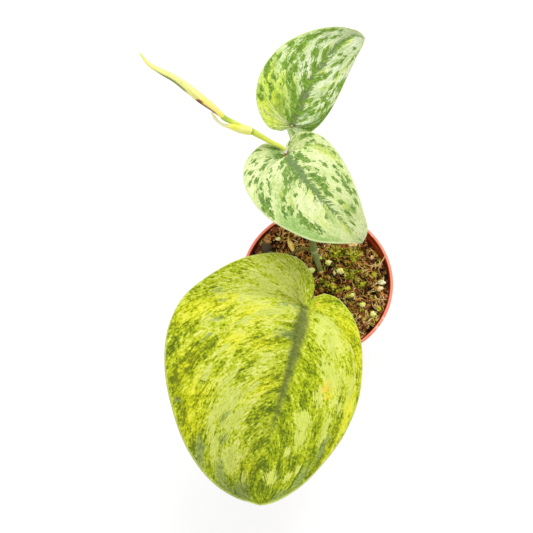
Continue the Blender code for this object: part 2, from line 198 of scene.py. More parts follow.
def layered(look, color, *coats):
    """A colour under coats of (share, colour), each laid over the ones before it."""
    for share, coat in coats:
        color = blend(look, share, color, coat)
    return color


def grain(look, vector, scale, detail=2.0, roughness=0.5):
    sockets = {"Vector": vector, "Scale": scale, "Detail": detail, "Roughness": roughness}
    return node(look, "TexNoise", sockets).outputs["Fac"]


def stretched(look, vector, scale):
    return node(look, "Mapping", {"Vector": vector, "Scale": scale}).outputs["Vector"]


def new_look(name):
    look = bpy.data.materials.new(name)
    look.use_nodes = True
    return look


def place_on(look):
    """Where on its piece each point of the surface is."""
    return node(look, "TexCoord").outputs["Object"]


def finish_look(look, color, rough, *bumps, shine=0.5, soft=0.0, sinks=(1.0, 1.0, 1.0), depth=0.8):
    """Sets a look's colour, roughness, shine and bumps of (height, distance in millimetres), from the finest
    to the broadest. Soft is how much light sinks in, to depth millimetres times sinks for each colour."""
    below = None
    for height, distance in bumps:
        made = node(look, "Bump", {"Height": height, "Distance": distance * MM})
        if below:
            fill(look, made, {"Normal": below})
        below = made.outputs["Normal"]
    sockets = {"Base Color": color, "Roughness": rough, "Specular IOR Level": shine, "Normal": below}
    if soft:
        sockets |= {"Subsurface Weight": soft, "Subsurface Radius": sinks, "Subsurface Scale": depth * MM}
    fill(look, look.node_tree.nodes["Principled BSDF"], sockets)
    return look


def inner_radius(z):
    """Radius of the pot's inner wall at a height."""
    return POT_RADIUS - LIP_WIDTH - (POT_HEIGHT - z) * TAPER


def pot_profile():
    """(radius, height) rings up the outside, over the lip, down the inside and in over the floor."""
    lip_bottom = POT_HEIGHT - LIP_HEIGHT
    lip_radius = POT_RADIUS - LIP_HEIGHT * TAPER
    foot = inner_radius(BASE_ROUND) + WALL
    rings = [(foot - BASE_ROUND * (1 - math.sin(a)), BASE_ROUND * (1 - math.cos(a)))
             for a in np.radians((0, 20, 40, 60, 80, 90))]
    heights = np.linspace(BASE_ROUND + 1, lip_bottom - LIP_STEP - 0.5, 12)
    rings += [(inner_radius(z) + WALL, z) for z in heights]
    rings += [(inner_radius(lip_bottom) + WALL, lip_bottom - LIP_STEP),
              (lip_radius - 0.25, lip_bottom - 0.12), (lip_radius - 0.06, lip_bottom),
              (lip_radius + 0.02, lip_bottom + 0.3)]
    for z in np.linspace(lip_bottom + 1.2, POT_HEIGHT - 1.0, 5):
        hollow = 0.1 * math.sin((z - lip_bottom) / LIP_HEIGHT * math.pi)
        rings.append((POT_RADIUS - (POT_HEIGHT - z) * TAPER - hollow, z))
    round_top = LIP_WIDTH / 2
    rings += [(POT_RADIUS - round_top + round_top * math.cos(a), POT_HEIGHT - 0.5 + 0.5 * math.sin(a))
              for a in np.radians((0, 25, 50, 70, 90, 110, 130, 155, 180))]
    rings += [(inner_radius(z), z) for z in np.linspace(POT_HEIGHT - 2, BASE_THICKNESS + 0.8, 12)]
    return rings + [(inner_radius(BASE_THICKNESS) - 0.6, BASE_THICKNESS)]


def pot_look():
    """Satin plastic: faint cloudy tone and speckle, pale scuffs on the lip, dust low down, darker and
    streaked inside, with painted shade on the lip's inner edge and on the inner wall just under the lip.
    """
    look = new_look("terracotta_plastic")
    place = place_on(look)
    height = node(look, "SeparateXYZ", {"Vector": place}).outputs["Z"]
    level = node(look, "VectorMath", {0: place, 1: (1, 1, 0)}, operation="MULTIPLY").outputs[0]
    out = node(look, "VectorMath", {0: level}, operation="LENGTH").outputs["Value"]
    wall = plus(look, (POT_RADIUS - LIP_WIDTH - POT_HEIGHT * TAPER) * MM, height, TAPER)
    in_from_wall = math_node(look, "SUBTRACT", out, wall)
    cloud = grain(look, place, 45.0, 3.0)
    speck = grain(look, place, 1600.0, 2.0)
    scratch = grain(look, stretched(look, place, (260, 260, 40)), 1.0, 4.0, 0.7)
    stain = grain(look, stretched(look, place, (90, 90, 500)), 1.0, 3.0)
    top = fade(look, height, (POT_HEIGHT - LIP_HEIGHT) * MM, POT_HEIGHT * MM)
    scuffs = times(look, fade(look, scratch, 0.58, 0.66), top)
    dust = times(look, fade(look, height, DUST_HEIGHT * MM, 0.0), fade(look, cloud, 0.35, 0.75))
    # Painted shade: the lip's inner edge is painted a deeper orange-red for the shade on it.
    lip_inner_shade = times(look, fade(look, in_from_wall, 0.5 * MM, 0.25 * MM), 0.85)
    inside = times(look, fade(look, in_from_wall, 0.5 * MM, 0.1 * MM),
                   fade(look, height, BASE_THICKNESS / 2 * MM, (BASE_THICKNESS - 0.1) * MM))
    # Painted shade: the inner wall is painted darker just under the lip, where the lip shades it.
    lip_shadow = fade(look, height, (POT_HEIGHT - 3) * MM, (POT_HEIGHT - 1) * MM)
    inner_wall = layered(look, (150, 46, 12), (fade(look, stain, 0.35, 0.65), (222, 82, 34)),
                   (lip_shadow, (120, 28, 0)))
    color = layered(
        look, (240, 124, 90), (cloud, (254, 150, 116)), (fade(look, speck, 0.62, 0.72), (255, 184, 150)),
        (times(look, scuffs, 0.8), (255, 214, 196)), (times(look, dust, 0.45), (196, 158, 136)),
        (times(look, lip_inner_shade, top), (222, 84, 36)), (inside, inner_wall))
    rough = node(look, "MapRange", {"Value": cloud, "To Min": 0.34, "To Max": 0.52}).outputs["Result"]
    return finish_look(look, color, rough, (speck, 0.03), (scratch, 0.05), shine=0.45)


def fit_piece(piece, slot, *nodes, look=None, sharp=None):
    """Finishes a piece: smooth but for edges past the sharp angle, with its look. It rides on the one body
    and stands for its CAD nodes. Its slot is not used."""
    piece.data.shade_smooth()
    if sharp:
        piece.data.set_sharp_from_angle(angle=math.radians(sharp))
    if look:
        piece.data.materials.append(look)
    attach(piece, "root")
    if nodes:
        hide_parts(*nodes)


def make_pot():
    rings = pot_profile()
    radius, height = rings[0]
    bpy.ops.mesh.primitive_circle_add(vertices=POT_SIDES, radius=radius * MM, fill_type="TRIFAN",
                                      location=(0, 0, height * MM))
    pot = bpy.context.object
    pot.name = "nursery_pot"
    bpy.ops.object.transform_apply()
    bpy.ops.object.mode_set(mode="EDIT")
    bpy.ops.mesh.region_to_loop()
    for next_radius, next_height in rings[1:]:
        bpy.ops.mesh.extrude_edges_move()
        scale = next_radius / radius
        bpy.ops.transform.resize(value=(scale, scale, 1), center_override=(0, 0, 0))
        bpy.ops.transform.translate(value=(0, 0, (next_height - height) * MM))
        radius, height = next_radius, next_height
    bpy.ops.mesh.extrude_edges_move()
    bpy.ops.mesh.merge(type="CENTER")
    bpy.ops.mesh.select_all(action="SELECT")
    bpy.ops.mesh.normals_make_consistent(inside=False)
    bpy.ops.object.mode_set(mode="OBJECT")
    for i in range(DRAIN_HOLES):
        turn = math.tau * i / DRAIN_HOLES
        bpy.ops.mesh.primitive_cylinder_add(
            vertices=32, radius=DRAIN_RADIUS * MM, depth=4 * BASE_THICKNESS * MM,
            location=(DRAIN_CIRCLE * MM * math.cos(turn), DRAIN_CIRCLE * MM * math.sin(turn), 0))
        punch = bpy.context.object
        bpy.context.view_layer.objects.active = pot
        hole = pot.modifiers.new("drain_hole", "BOOLEAN")
        hole.object = punch
        hole.solver = "EXACT"
        bpy.ops.object.modifier_apply(modifier="drain_hole")
        bpy.data.objects.remove(punch)
    fit_piece(pot, "pot_plastic", "pot", look=pot_look(), sharp=SHARP_ANGLE)


make_pot()


# Soil. The root ball: red-brown fibrous peat that fills the pot to just under the lip, sunk at one side and
# heaped a little at another, where it and the litter on it are painted paler, as painted light. Loose fibres
# and crumbs cover it.
# The dip and the heap each grow from START to END out from the middle, towards their DIRECTION. To either
# side of its line the dip fades out between DIP_SIDES.
SOIL_TOP = 58.6
SOIL_DIP = 4.3
DIP_DIRECTION = math.radians(42)
DIP_START = 12.0
DIP_END = 32.0
DIP_SIDES = (5.0, 17.0)
SOIL_HEAP = 0.9
HEAP_DIRECTION = math.radians(-44)
HEAP_START = 19.0
HEAP_END = 29.0
SOIL_GAP = 0.3
SOIL_SIDES = 240
SOIL_RINGS = 110
# How high each row down the side lies, from 1 at the top to 0 at the bottom.
SOIL_SIDE_LEVELS = (0.985, 0.94, 0.8, 0.6, 0.4, 0.2, 0.0)
# Each fibre shape is (bend, wave). Ranges of sizes are (least, most, commonest); a fibre's thickness is that
# of its pattern times the value.
FIBRES = 2600
FIBRE_SHAPES = [(0.2, 0.0), (0.5, 0.03), (-0.35, 0.05), (0.9, 0.0), (-0.7, 0.04), (0.05, 0.06)]
FIBRE_LENGTHS = (0.9, 6.5, 1.5)
FIBRE_THICKNESSES = (1.6, 7.0, 2.8)
CRUMBS = 1300
CRUMB_SEEDS = (1, 4, 9, 14)
CRUMB_SIZES = (0.2, 1.2, 0.3)
# Each clod is (x, y, size, tone).
CLODS = [(-23.4, 16.4, 3.1, 0.15), (-19.6, 25, 1.6, 0.4), (29, -3.4, 1.5, 1.1), (24.6, -8, 0.9, 0.7)]
chance = random.Random(7)


def smoothstep(low, high, value):
    """0 below low, 1 above high and a smooth ramp between, for numbers and arrays."""
    x = np.clip((value - low) / (high - low), 0.0, 1.0)
    return x * x * (3 - 2 * x)


def soil_height(x, y):
    """Height of the soil's surface in millimetres: crumbly, sunk at one side and heaped at another."""
    outward = x * math.cos(DIP_DIRECTION) + y * math.sin(DIP_DIRECTION)
    aside = y * math.cos(DIP_DIRECTION) - x * math.sin(DIP_DIRECTION)
    dip = SOIL_DIP * smoothstep(DIP_START, DIP_END, outward) * (1 - smoothstep(*DIP_SIDES, abs(aside)))
    towards = x * math.cos(HEAP_DIRECTION) + y * math.sin(HEAP_DIRECTION)
    level = SOIL_TOP - dip + SOIL_HEAP * smoothstep(HEAP_START, HEAP_END, towards)
    return level + 0.5 * noise.noise(Vector((x, y, 0)) / 7) + roughness_at(x, y)


def roughness_at(x, y):
    """How far the clods and crumbs stand above or below the level of the soil."""
    clod = noise.noise(Vector((x, y, 3)) / 2.8)
    crumb = noise.noise(Vector((x, y, 9)) / 1.2)
    return 1.1 * clod + 0.8 * crumb - 0.4


def set_attribute(mesh, name, values):
    mesh.attributes.new(name, "FLOAT", "POINT").data.foreach_set("value", values)


def attribute(look, name, output="Fac"):
    return node(look, "Attribute", attribute_name=name).outputs[output]


def total(look, base, *terms):
    """A base plus the sum of (value, weight) terms, each value counted from its middle of 0.5."""
    for value, weight in terms:
        base = plus(look, base, plus(look, -weight / 2, value, weight))
    return base


def ramp(look, value, *stops):
    """A colour for each value, smoothly through stops of (value, colour)."""
    made = node(look, "ValToRGB", {"Fac": value})
    scale = made.color_ramp.elements
    while len(scale) < len(stops):
        scale.new(0.5)
    for element, (at, color) in zip(scale, stops):
        element.position = at
        element.color = paint(*color)
    return made.outputs["Color"]


def heap_painted_light(look, place, most):
    """Painted light that pales the peat and its litter: most where it's heaped, and 0 elsewhere."""
    direction = (math.cos(HEAP_DIRECTION), math.sin(HEAP_DIRECTION), 0)
    towards = node(look, "VectorMath", {0: place, 1: direction}, operation="DOT_PRODUCT").outputs["Value"]
    return times(look, fade(look, towards, HEAP_START * MM, HEAP_END * MM), most)


def soil_look():
    """Red-brown crumbs round near-black gaps, with a green film of algae in patches. Its hollows hold
    painted shade, and it takes painted light towards the heap.
    """
    look = new_look("peat")
    place = place_on(look)
    clod = grain(look, place, 420.0, 3.0, 0.6)
    crumb = grain(look, place, 1500.0, 3.0, 0.7)
    algae = fade(look, grain(look, place, 210.0, 3.0, 0.7), 0.52, 0.60)
    tone = plus(look, times(look, clod, 0.3), crumb, 0.7)
    # Painted shade: the peat is painted darker where it lies low and paler where its clods stand proud.
    tone = plus(look, tone, attribute(look, "proud"), 0.2)
    # Painted light: the peat is painted paler towards the heap.
    tone = plus(look, tone, heap_painted_light(look, place, 0.09))
    bare = ramp(look, tone, (0.37, (8, 4, 2)), (0.48, (54, 24, 11)), (0.58, (158, 86, 44)),
                (0.68, (244, 178, 116)))
    green = ramp(look, tone, (0.36, (14, 14, 2)), (0.5, (104, 100, 12)), (0.66, (206, 204, 44)))
    return finish_look(look, blend(look, algae, bare, green), 0.95, (crumb, 0.5), (clod, 0.8), shine=0.15)


def litter_look(name, rough, clumping, *stops):
    """A rough natural finish whose colour goes by each bit's own tone, with a fine grain. Bits that lie
    together are damper or drier together, as strongly as clumping says."""
    look = new_look(name)
    place = place_on(look)
    speck = grain(look, place, 2200.0, 2.0, 0.6)
    clump = grain(look, place, 230.0, 2.0, 0.6)
    tone = total(look, attribute(look, "tone"), (speck, 0.3), (clump, clumping))
    # Painted light: fibres, crumbs and moss are painted paler towards the heap.
    tone = plus(look, tone, heap_painted_light(look, place, 0.2))
    return finish_look(look, ramp(look, tone, *stops), rough, (speck, 0.1), shine=0.2)


def pattern_from(item):
    """Takes the mesh of a primitive that has been shaped, as a pattern to copy."""
    mesh = item.data.copy()
    bpy.data.objects.remove(item)
    return mesh


def scattered(name, slot, look, patterns, places, *nodes):
    """One piece made of many copies, each of (pattern number, matrix, tone)."""
    corners = [np.array([vert.co for vert in pattern.vertices]) for pattern in patterns]
    faces = [[tuple(face.vertices) for face in pattern.polygons] for pattern in patterns]
    points, sides, tones = [], [], []
    for pattern, matrix, tone in places:
        first = len(tones)
        points.append(corners[pattern] @ np.array(matrix.to_3x3()).T + np.array(matrix.translation))
        sides += [tuple(first + corner for corner in face) for face in faces[pattern]]
        tones += [tone] * len(corners[pattern])
    mesh = bpy.data.meshes.new(name)
    mesh.from_pydata(np.concatenate(points), [], sides)
    set_attribute(mesh, "tone", tones)
    piece = bpy.data.objects.new(name, mesh)
    bpy.context.scene.collection.objects.link(piece)
    fit_piece(piece, slot, *nodes, look=look)


def set_out(x, y, z, turn, tilt, scale):
    """The matrix that scales a pattern, tilts it, turns it about Z and puts it at a place in millimetres."""
    spin = Euler((tilt[0], tilt[1], turn)).to_matrix().to_4x4()
    sized = Matrix.Diagonal((*(s * MM for s in scale), 1))
    return Matrix.Translation(Vector((x, y, z)) * MM) @ spin @ sized


def somewhere(reach):
    """A place on the soil, evenly spread over a circle."""
    turn = chance.uniform(0, math.tau)
    out = reach * math.sqrt(chance.random())
    return out * math.cos(turn), out * math.sin(turn)


def make_soil():
    """The root ball: a grid rolled round the axis, from the middle of the top down the side to the base."""
    rows = SOIL_RINGS + len(SOIL_SIDE_LEVELS) + 1
    rim = inner_radius(SOIL_TOP) - SOIL_GAP
    bottom = BASE_THICKNESS + SOIL_GAP
    bpy.ops.mesh.primitive_grid_add(x_subdivisions=SOIL_SIDES, y_subdivisions=rows, size=2)
    soil = bpy.context.object
    soil.name = "root_ball"
    proud = []
    for vert in soil.data.vertices:
        turn = vert.co.x * math.pi
        row = round((vert.co.y + 1) / 2 * rows)
        if row <= SOIL_RINGS:
            reach = rim * row / SOIL_RINGS
            x, y = reach * math.cos(turn), reach * math.sin(turn)
            z = soil_height(x, y)
            proud.append(roughness_at(x, y))
            squeeze = (inner_radius(z) - SOIL_GAP) / rim
            x, y = x * squeeze, y * squeeze
        else:
            level = SOIL_SIDE_LEVELS[min(row - SOIL_RINGS, len(SOIL_SIDE_LEVELS)) - 1]
            top = soil_height(rim * math.cos(turn), rim * math.sin(turn))
            z = bottom + (top - bottom) * level
            reach = inner_radius(z) - SOIL_GAP if row < rows else 0.0
            x, y = reach * math.cos(turn), reach * math.sin(turn)
            proud.append(0.0)
        vert.co = Vector((x, y, z)) * MM
    set_attribute(soil.data, "proud", proud)
    close_up(soil)
    fit_piece(soil, "soil", "soil", look=soil_look())


def close_up(item, gap=0.002):
    """Welds a grid where its points lie within a gap in millimetres, and turns its faces outwards."""
    bpy.context.view_layer.objects.active = item
    bpy.ops.object.mode_set(mode="EDIT")
    bpy.ops.mesh.select_all(action="SELECT")
    bpy.ops.mesh.remove_doubles(threshold=gap * MM)
    bpy.ops.mesh.normals_make_consistent(inside=False)
    bpy.ops.object.mode_set(mode="OBJECT")


def fibre_pattern(bend, wave):
    """A peat fibre one unit long: a thin five-sided strand, bent and tapered."""
    bpy.ops.mesh.primitive_cylinder_add(vertices=5, radius=1, depth=1, rotation=(0, math.pi / 2, 0))
    strand = bpy.context.object
    bpy.ops.object.transform_apply()
    bpy.ops.object.mode_set(mode="EDIT")
    for at in (-0.33, -0.16, 0.0, 0.16, 0.33):
        bpy.ops.mesh.select_all(action="SELECT")
        bpy.ops.mesh.bisect(plane_co=(at, 0, 0), plane_no=(1, 0, 0))
    bpy.ops.object.mode_set(mode="OBJECT")
    for vert in strand.data.vertices:
        along = vert.co.x
        thin = 0.034 * (1 - 1.2 * along * along)
        bow = bend * (0.25 - along * along)
        vert.co.y = vert.co.y * thin + 0.4 * bow + wave * math.sin(along * 9)
        vert.co.z = vert.co.z * thin + 0.2 * abs(bow)
    return pattern_from(strand)


def crumb_pattern(seed):
    """A crumb of peat: a small uneven lump."""
    bpy.ops.mesh.primitive_ico_sphere_add(subdivisions=2, radius=1)
    lump = bpy.context.object
    for vert in lump.data.vertices:
        vert.co *= 1 + 0.55 * noise.noise(vert.co * 1.6 + Vector((seed, 0, 0)))
    return pattern_from(lump)


def make_peat_litter():
    rim = inner_radius(SOIL_TOP) - 1.6
    strands = [fibre_pattern(bend, wave) for bend, wave in FIBRE_SHAPES]
    places = []
    for _ in range(FIBRES):
        x, y = somewhere(rim)
        long = chance.triangular(*FIBRE_LENGTHS)
        thick = chance.triangular(*FIBRE_THICKNESSES)
        tilt = (chance.uniform(-0.6, 0.6), chance.uniform(-0.35, 0.35))
        pattern = chance.randrange(len(strands))
        z = soil_height(x, y) + chance.uniform(0.1, 0.6)
        matrix = set_out(x, y, z, chance.uniform(0, math.tau), tilt, (long, thick, thick))
        places.append((pattern, matrix, chance.random()))
    look = litter_look("peat_fibre", 0.9, 2.2,
                       (0.0, (40, 18, 6)), (0.22, (124, 58, 24)), (0.42, (206, 118, 60)),
                       (0.6, (246, 180, 106)), (0.76, (204, 180, 50)), (0.9, (246, 226, 100)),
                       (1.0, (254, 226, 160)))
    scattered("peat_fibres", "soil", look, strands, places)
    lumps = [crumb_pattern(seed) for seed in CRUMB_SEEDS]
    places = []
    for _ in range(CRUMBS):
        x, y = somewhere(rim)
        size = chance.triangular(*CRUMB_SIZES)
        pattern = chance.randrange(len(lumps))
        matrix = set_out(x, y, soil_height(x, y) + size * 0.2, chance.uniform(0, math.tau),
                         (chance.uniform(0, 3), 0), (size, size * 0.7, size * 0.5))
        places.append((pattern, matrix, chance.random()))
    for x, y, size, tone in CLODS:
        z = soil_height(x, y) + 0.3 * size
        places.append((0, set_out(x, y, z, x, (0.3, 0), (size, 0.8 * size, 0.5 * size)), tone))
    look = litter_look("peat_crumb", 0.95, 0.2,
                       (0.0, (14, 7, 4)), (0.15, (82, 74, 54)), (0.35, (104, 50, 26)),
                       (0.6, (208, 124, 74)), (0.8, (176, 156, 44)), (1.0, (255, 232, 176)))
    scattered("peat_crumbs", "soil", look, lumps, places)


make_soil()
make_peat_litter()


# Grit and litter. Grains of white perlite, split chips of bark and one curled scrap of dead leaf, each lying
# where the peat holds it. Perlite is popped glass: chalky, pitted and faintly stained by the peat.
PERLITE_GRAINS = 10
SCRAP_AT = (-11.8, 17.2)
SCRAP_HALF_LENGTH = 3.1
SCRAP_HALF_WIDTH = 1.1
# How each chip is turned, in degrees, and its dark, middle and pale colours.
CHIP_TURNS = (20, 75, 10)
CHIP_COLORS = (
    ((176, 128, 70), (236, 196, 124), (252, 230, 168)),
    ((110, 58, 18), (188, 124, 48), (222, 170, 92)),
    ((34, 30, 20), (78, 72, 50), (120, 110, 80)),
)


def middle(name):
    """The middle and half size, in millimetres, of the box round a CAD node."""
    low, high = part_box(name)
    return (low + high) / 2 / MM, (high - low) / 2 / MM


def make_perlite():
    look = new_look("perlite")
    place = place_on(look)
    pits = grain(look, place, 1500.0, 3.0, 0.6)
    stain = grain(look, place, 330.0, 2.0)
    color = ramp(look, stain, (0.38, (255, 252, 212)), (0.5, (255, 250, 146)), (0.62, (226, 242, 84)))
    color = blend(look, fade(look, pits, 0.40, 0.28), color, (222, 208, 132))
    finish_look(look, color, 0.9, (pits, 0.25), shine=0.2)
    for i in range(1, PERLITE_GRAINS + 1):
        center, half = middle(f"perlite_grain_{i}")
        bpy.ops.mesh.primitive_ico_sphere_add(subdivisions=4, radius=1)
        lump = bpy.context.object
        lump.name = f"perlite_{i}"
        for vert in lump.data.vertices:
            at = vert.co + Vector((i * 3.7, 0, 0))
            corner = abs(noise.noise(at * 1.1)) + 0.6 * abs(noise.noise(at * 2.3 + Vector((5, 0, 0))))
            pit = min(0.0, noise.noise(at * 6) + 0.1)
            size = 0.58 + 0.7 * corner + 0.3 * pit
            vert.co = (center + Vector(a * b for a, b in zip(vert.co, half)) * size) * MM
        fit_piece(lump, "perlite", f"perlite_grain_{i}", look=look)


def bark_look(i):
    look = new_look(f"bark_{i}")
    layers = grain(look, stretched(look, place_on(look), (420, 900, 1600)), 1.0, 4.0, 0.7)
    color = ramp(look, layers, *zip((0.36, 0.5, 0.66), CHIP_COLORS[i - 1]))
    return finish_look(look, color, 0.85, (layers, 0.35))


def make_bark():
    """Split chips: a subdivided block, narrowed to ragged ends and stepped into layers."""
    for i, turn in enumerate(CHIP_TURNS, 1):
        center, half = middle(f"bark_chip_{i}")
        bpy.ops.mesh.primitive_cube_add(size=2)
        chip = bpy.context.object
        chip.name = f"bark_{i}"
        bpy.ops.object.mode_set(mode="EDIT")
        bpy.ops.mesh.subdivide(number_cuts=13)
        bpy.ops.object.mode_set(mode="OBJECT")
        length, width = (half.x, half.y) if turn < 45 else (half.y, half.x)
        for vert in chip.data.vertices:
            along, across, up = vert.co
            seed = i * 5
            ragged = noise.noise(Vector((across * 2.2, along, seed))) + 0.5 * noise.noise(
                Vector((across * 5, seed, up)))
            narrow = 0.95 - 0.5 * abs(along) ** 1.6 + 0.35 * noise.noise(Vector((along * 1.8, seed, 0)))
            layer = 0.5 + 0.5 * round(1.6 * noise.noise(Vector((along * 1.2, across * 2.4, seed))) + 0.4)
            flat = Vector((along * length * (0.85 + 0.25 * ragged), across * width * narrow,
                           up * half.z * min(max(layer, 0.3), 1.0)))
            flat.rotate(Euler((0.12 * (i - 2), 0.1, math.radians(turn))))
            vert.co = (center + flat) * MM
        fit_piece(chip, "bark", f"bark_chip_{i}", look=bark_look(i), sharp=SHARP_ANGLE)


def thicken(piece, thickness, **settings):
    """Gives a sheet its thickness in millimetres, with any other settings of the modifier."""
    solidify = piece.modifiers.new("thickness", "SOLIDIFY")
    solidify.thickness = thickness * MM
    for name, value in settings.items():
        setattr(solidify, name, value)
    bpy.ops.object.modifier_apply(modifier="thickness")


def make_leaf_scrap():
    """A dry yellow scrap: a small pointed grid, rolled along its length."""
    look = new_look("dry_leaf")
    veins = grain(look, stretched(look, place_on(look), (700, 260, 500)), 1.0, 3.0, 0.6)
    color = ramp(look, veins, (0.35, (188, 128, 40)), (0.5, (234, 196, 92)), (0.68, (250, 232, 160)))
    finish_look(look, color, 0.7, (veins, 0.15))
    bpy.ops.mesh.primitive_grid_add(x_subdivisions=14, y_subdivisions=30, size=2)
    scrap = bpy.context.object
    scrap.name = "leaf_scrap"
    lies_at = Vector((*SCRAP_AT, soil_height(*SCRAP_AT) + 1.1))
    for vert in scrap.data.vertices:
        across, along, _ = vert.co
        wide = SCRAP_HALF_WIDTH * (1 - abs(along) ** 2.2) + 0.12
        flat = Vector((wide * math.sin(across * 1.1), SCRAP_HALF_LENGTH * along + 0.3 * across,
                       0.9 * (1 - math.cos(across * 1.1)) + 0.5 * along * along))
        flat.rotate(Euler((0.1, -0.25, 0.42)))
        vert.co = (lies_at + flat) * MM
    thicken(scrap, 0.25)
    fit_piece(scrap, "bark", look=look)


make_perlite()
make_bark()
make_leaf_scrap()


# Moss. Fine green moss has grown over one side of the peat, in four low cushions of short leafy sprigs
# and in single sprigs between them. The newest sprigs are bright yellow-green.
SPRIG_PATTERNS = 5
LEAFLETS = 9
SPRIGS_PER_CUSHION = (150, 100, 70, 80)
CUSHION_SPRIG_SIZES = (0.8, 1.5)
# Loose sprigs grow densest round MOSS_MIDDLE, and the brightest ones in tufts.
LOOSE_SPRIGS = 1150
LOOSE_SPRIG_SIZES = (0.4, 1.3, 0.6)
MOSS_MIDDLE = (10, 6)
MOSS_SPREAD = (13, 15)
TUFT_SPRIGS = 11
TUFT_SPRIG_SIZES = (1, 1.8)
TUFT_SPREAD = 0.45
BRIGHT_TUFTS = [
    (2.3, 0.3), (4.6, -1.4), (6.8, -2.7), (16.6, 12), (17.2, 10.8), (14.2, -3.7), (14.6, -7), (26.5, 3.3),
    (28, -13), (8.6, 12.6), (21, -1.6),
]


def sprig_pattern(seed):
    """A moss sprig one unit tall: a short stalk with pointed leaflets set round it."""
    dice = random.Random(seed)
    bpy.ops.mesh.primitive_cone_add(vertices=4, radius1=0.09, radius2=0.02, depth=1, location=(0, 0, 0.5))
    stalk = bpy.context.object
    bpy.ops.object.transform_apply()
    leaflets = [stalk]
    for step in range(LEAFLETS):
        turn = step * 2.4 + dice.uniform(-0.3, 0.3)
        up = 0.15 + 0.09 * step
        long = 0.62 - 0.035 * step
        bpy.ops.mesh.primitive_cone_add(vertices=3, radius1=0.15, depth=1)
        leaflet = bpy.context.object
        for vert in leaflet.data.vertices:
            along = (vert.co.z + 0.5) * long
            vert.co = (vert.co.x, along, 0.5 * vert.co.y + along * (0.5 + 0.07 * step))
        leaflet.rotation_euler = (0, 0, turn)
        leaflet.location = (0, 0, up)
        bpy.ops.object.transform_apply()
        leaflets.append(leaflet)
    for leaflet in leaflets:
        leaflet.select_set(True)
    bpy.context.view_layer.objects.active = stalk
    bpy.ops.object.join()
    return pattern_from(stalk)


def sprig_at(x, y, size):
    tilt = (chance.uniform(-0.6, 0.6), chance.uniform(-0.6, 0.6))
    matrix = set_out(x, y, soil_height(x, y) - 0.1, chance.uniform(0, math.tau), tilt, (size, size, size))
    return chance.randrange(SPRIG_PATTERNS), matrix


def make_moss():
    sprigs = [sprig_pattern(seed) for seed in range(SPRIG_PATTERNS)]
    look = litter_look("moss", 0.75, 2.2, (0.0, (30, 30, 2)), (0.3, (76, 82, 4)), (0.55, (146, 154, 10)),
                       (0.75, (220, 238, 20)), (1.0, (250, 255, 80)))
    for i, count in enumerate(SPRIGS_PER_CUSHION, 1):
        center, half = middle(f"moss_cushion_{i}")
        places = []
        for _ in range(count):
            turn = chance.uniform(0, math.tau)
            out = math.sqrt(chance.random())
            x = center.x + half.x * 0.95 * out * math.cos(turn)
            y = center.y + half.y * 0.95 * out * math.sin(turn)
            size = chance.uniform(*CUSHION_SPRIG_SIZES) * (1.2 - 0.5 * out)
            places.append((*sprig_at(x, y, size), chance.random() ** 0.8))
        scattered(f"moss_{i}", "moss", look, sprigs, places, f"moss_cushion_{i}")
    places = []
    (middle_x, middle_y), (spread_x, spread_y) = MOSS_MIDDLE, MOSS_SPREAD
    while len(places) < LOOSE_SPRIGS:
        x, y = somewhere(inner_radius(SOIL_TOP) - 1.5)
        mossy = 0.9 * math.exp(-((x - middle_x) / spread_x) ** 2 - ((y - middle_y) / spread_y) ** 2)
        if mossy + 0.5 * noise.noise(Vector((x, y, 40)) / 4) > chance.uniform(0.1, 1.0):
            size = chance.triangular(*LOOSE_SPRIG_SIZES)
            places.append((*sprig_at(x, y, size), chance.random() ** 2))
    for x, y in BRIGHT_TUFTS:
        for _ in range(TUFT_SPRIGS):
            near_x, near_y = x + chance.gauss(0, TUFT_SPREAD), y + chance.gauss(0, TUFT_SPREAD)
            sprig = sprig_at(near_x, near_y, chance.uniform(*TUFT_SPRIG_SIZES))
            places.append((*sprig, chance.uniform(0.8, 1.1)))
    scattered("loose_moss", "moss", look, sprigs, places)


make_moss()


# Stems. A knotted grey-green climbing stem stands in the peat, with a short brown root at a low joint. A
# smooth round stalk carries each blade: the large one's rises from the peat, the others' from the stem. A
# loose pale root lies across the peat to the lip.
# Each point of a route is (x, y, z, radius).
STEM_ROUTE = [
    (2.3, 3.8, 47, 0.9), (2.3, 4.0, 56, 1.0), (0.3, 8.2, 61.8, 1.25), (-1.5, 12.6, 66.4, 1.6),
    (-2.8, 15.8, 72.5, 1.3), (-5.0, 19.2, 83, 1.3), (-7.4, 23.2, 94, 1.8), (-10.4, 28, 106, 1.5),
    (-12.8, 31.6, 113.5, 1.6), (-14.2, 33.2, 118, 2.3),
]
AERIAL_ROOT_ROUTE = [
    (-2.6, 13.0, 66.8, 0.8), (-3.8, 13.2, 66.4, 0.75), (-6.4, 13.9, 64.9, 0.8), (-9.6, 13.6, 62.5, 0.8),
    (-12.2, 11.9, 60.2, 0.5),
]
LARGE_STALK_ROUTE = [
    (-3.6, 0.4, 47, 1.6), (-3.8, 0.2, 56, 1.7), (-4.2, -2.6, 67, 1.6), (-6, -8.6, 79, 1.5),
    (-8.4, -16.4, 90, 1.5), (-9.24, -21.8, 97, 1.5), (-8.4, -22.2, 99, 1.6),
]
UPPER_STALK_ROUTE = [
    (-7.4, 24.4, 93.6, 0.9), (-7.8, 26.8, 95.2, 1.0), (-9.2, 32.2, 101.2, 1.15), (-11, 39.4, 108.4, 1.2),
    (-12.4, 46.4, 113.4, 1.35), (-13.8, 50.9, 115, 1.35), (-13.3, 50.1, 117, 1.3),
]
MIDDLE_STALK_ROUTE = [
    (-14.3, 32.0, 117.6, 1.3), (-14.4, 31.7, 119.2, 1.15), (-15.3, 31.3, 123, 1.05),
    (-16.6, 31.4, 125.9, 1.05), (-15.9, 31.4, 128, 1.15),
]
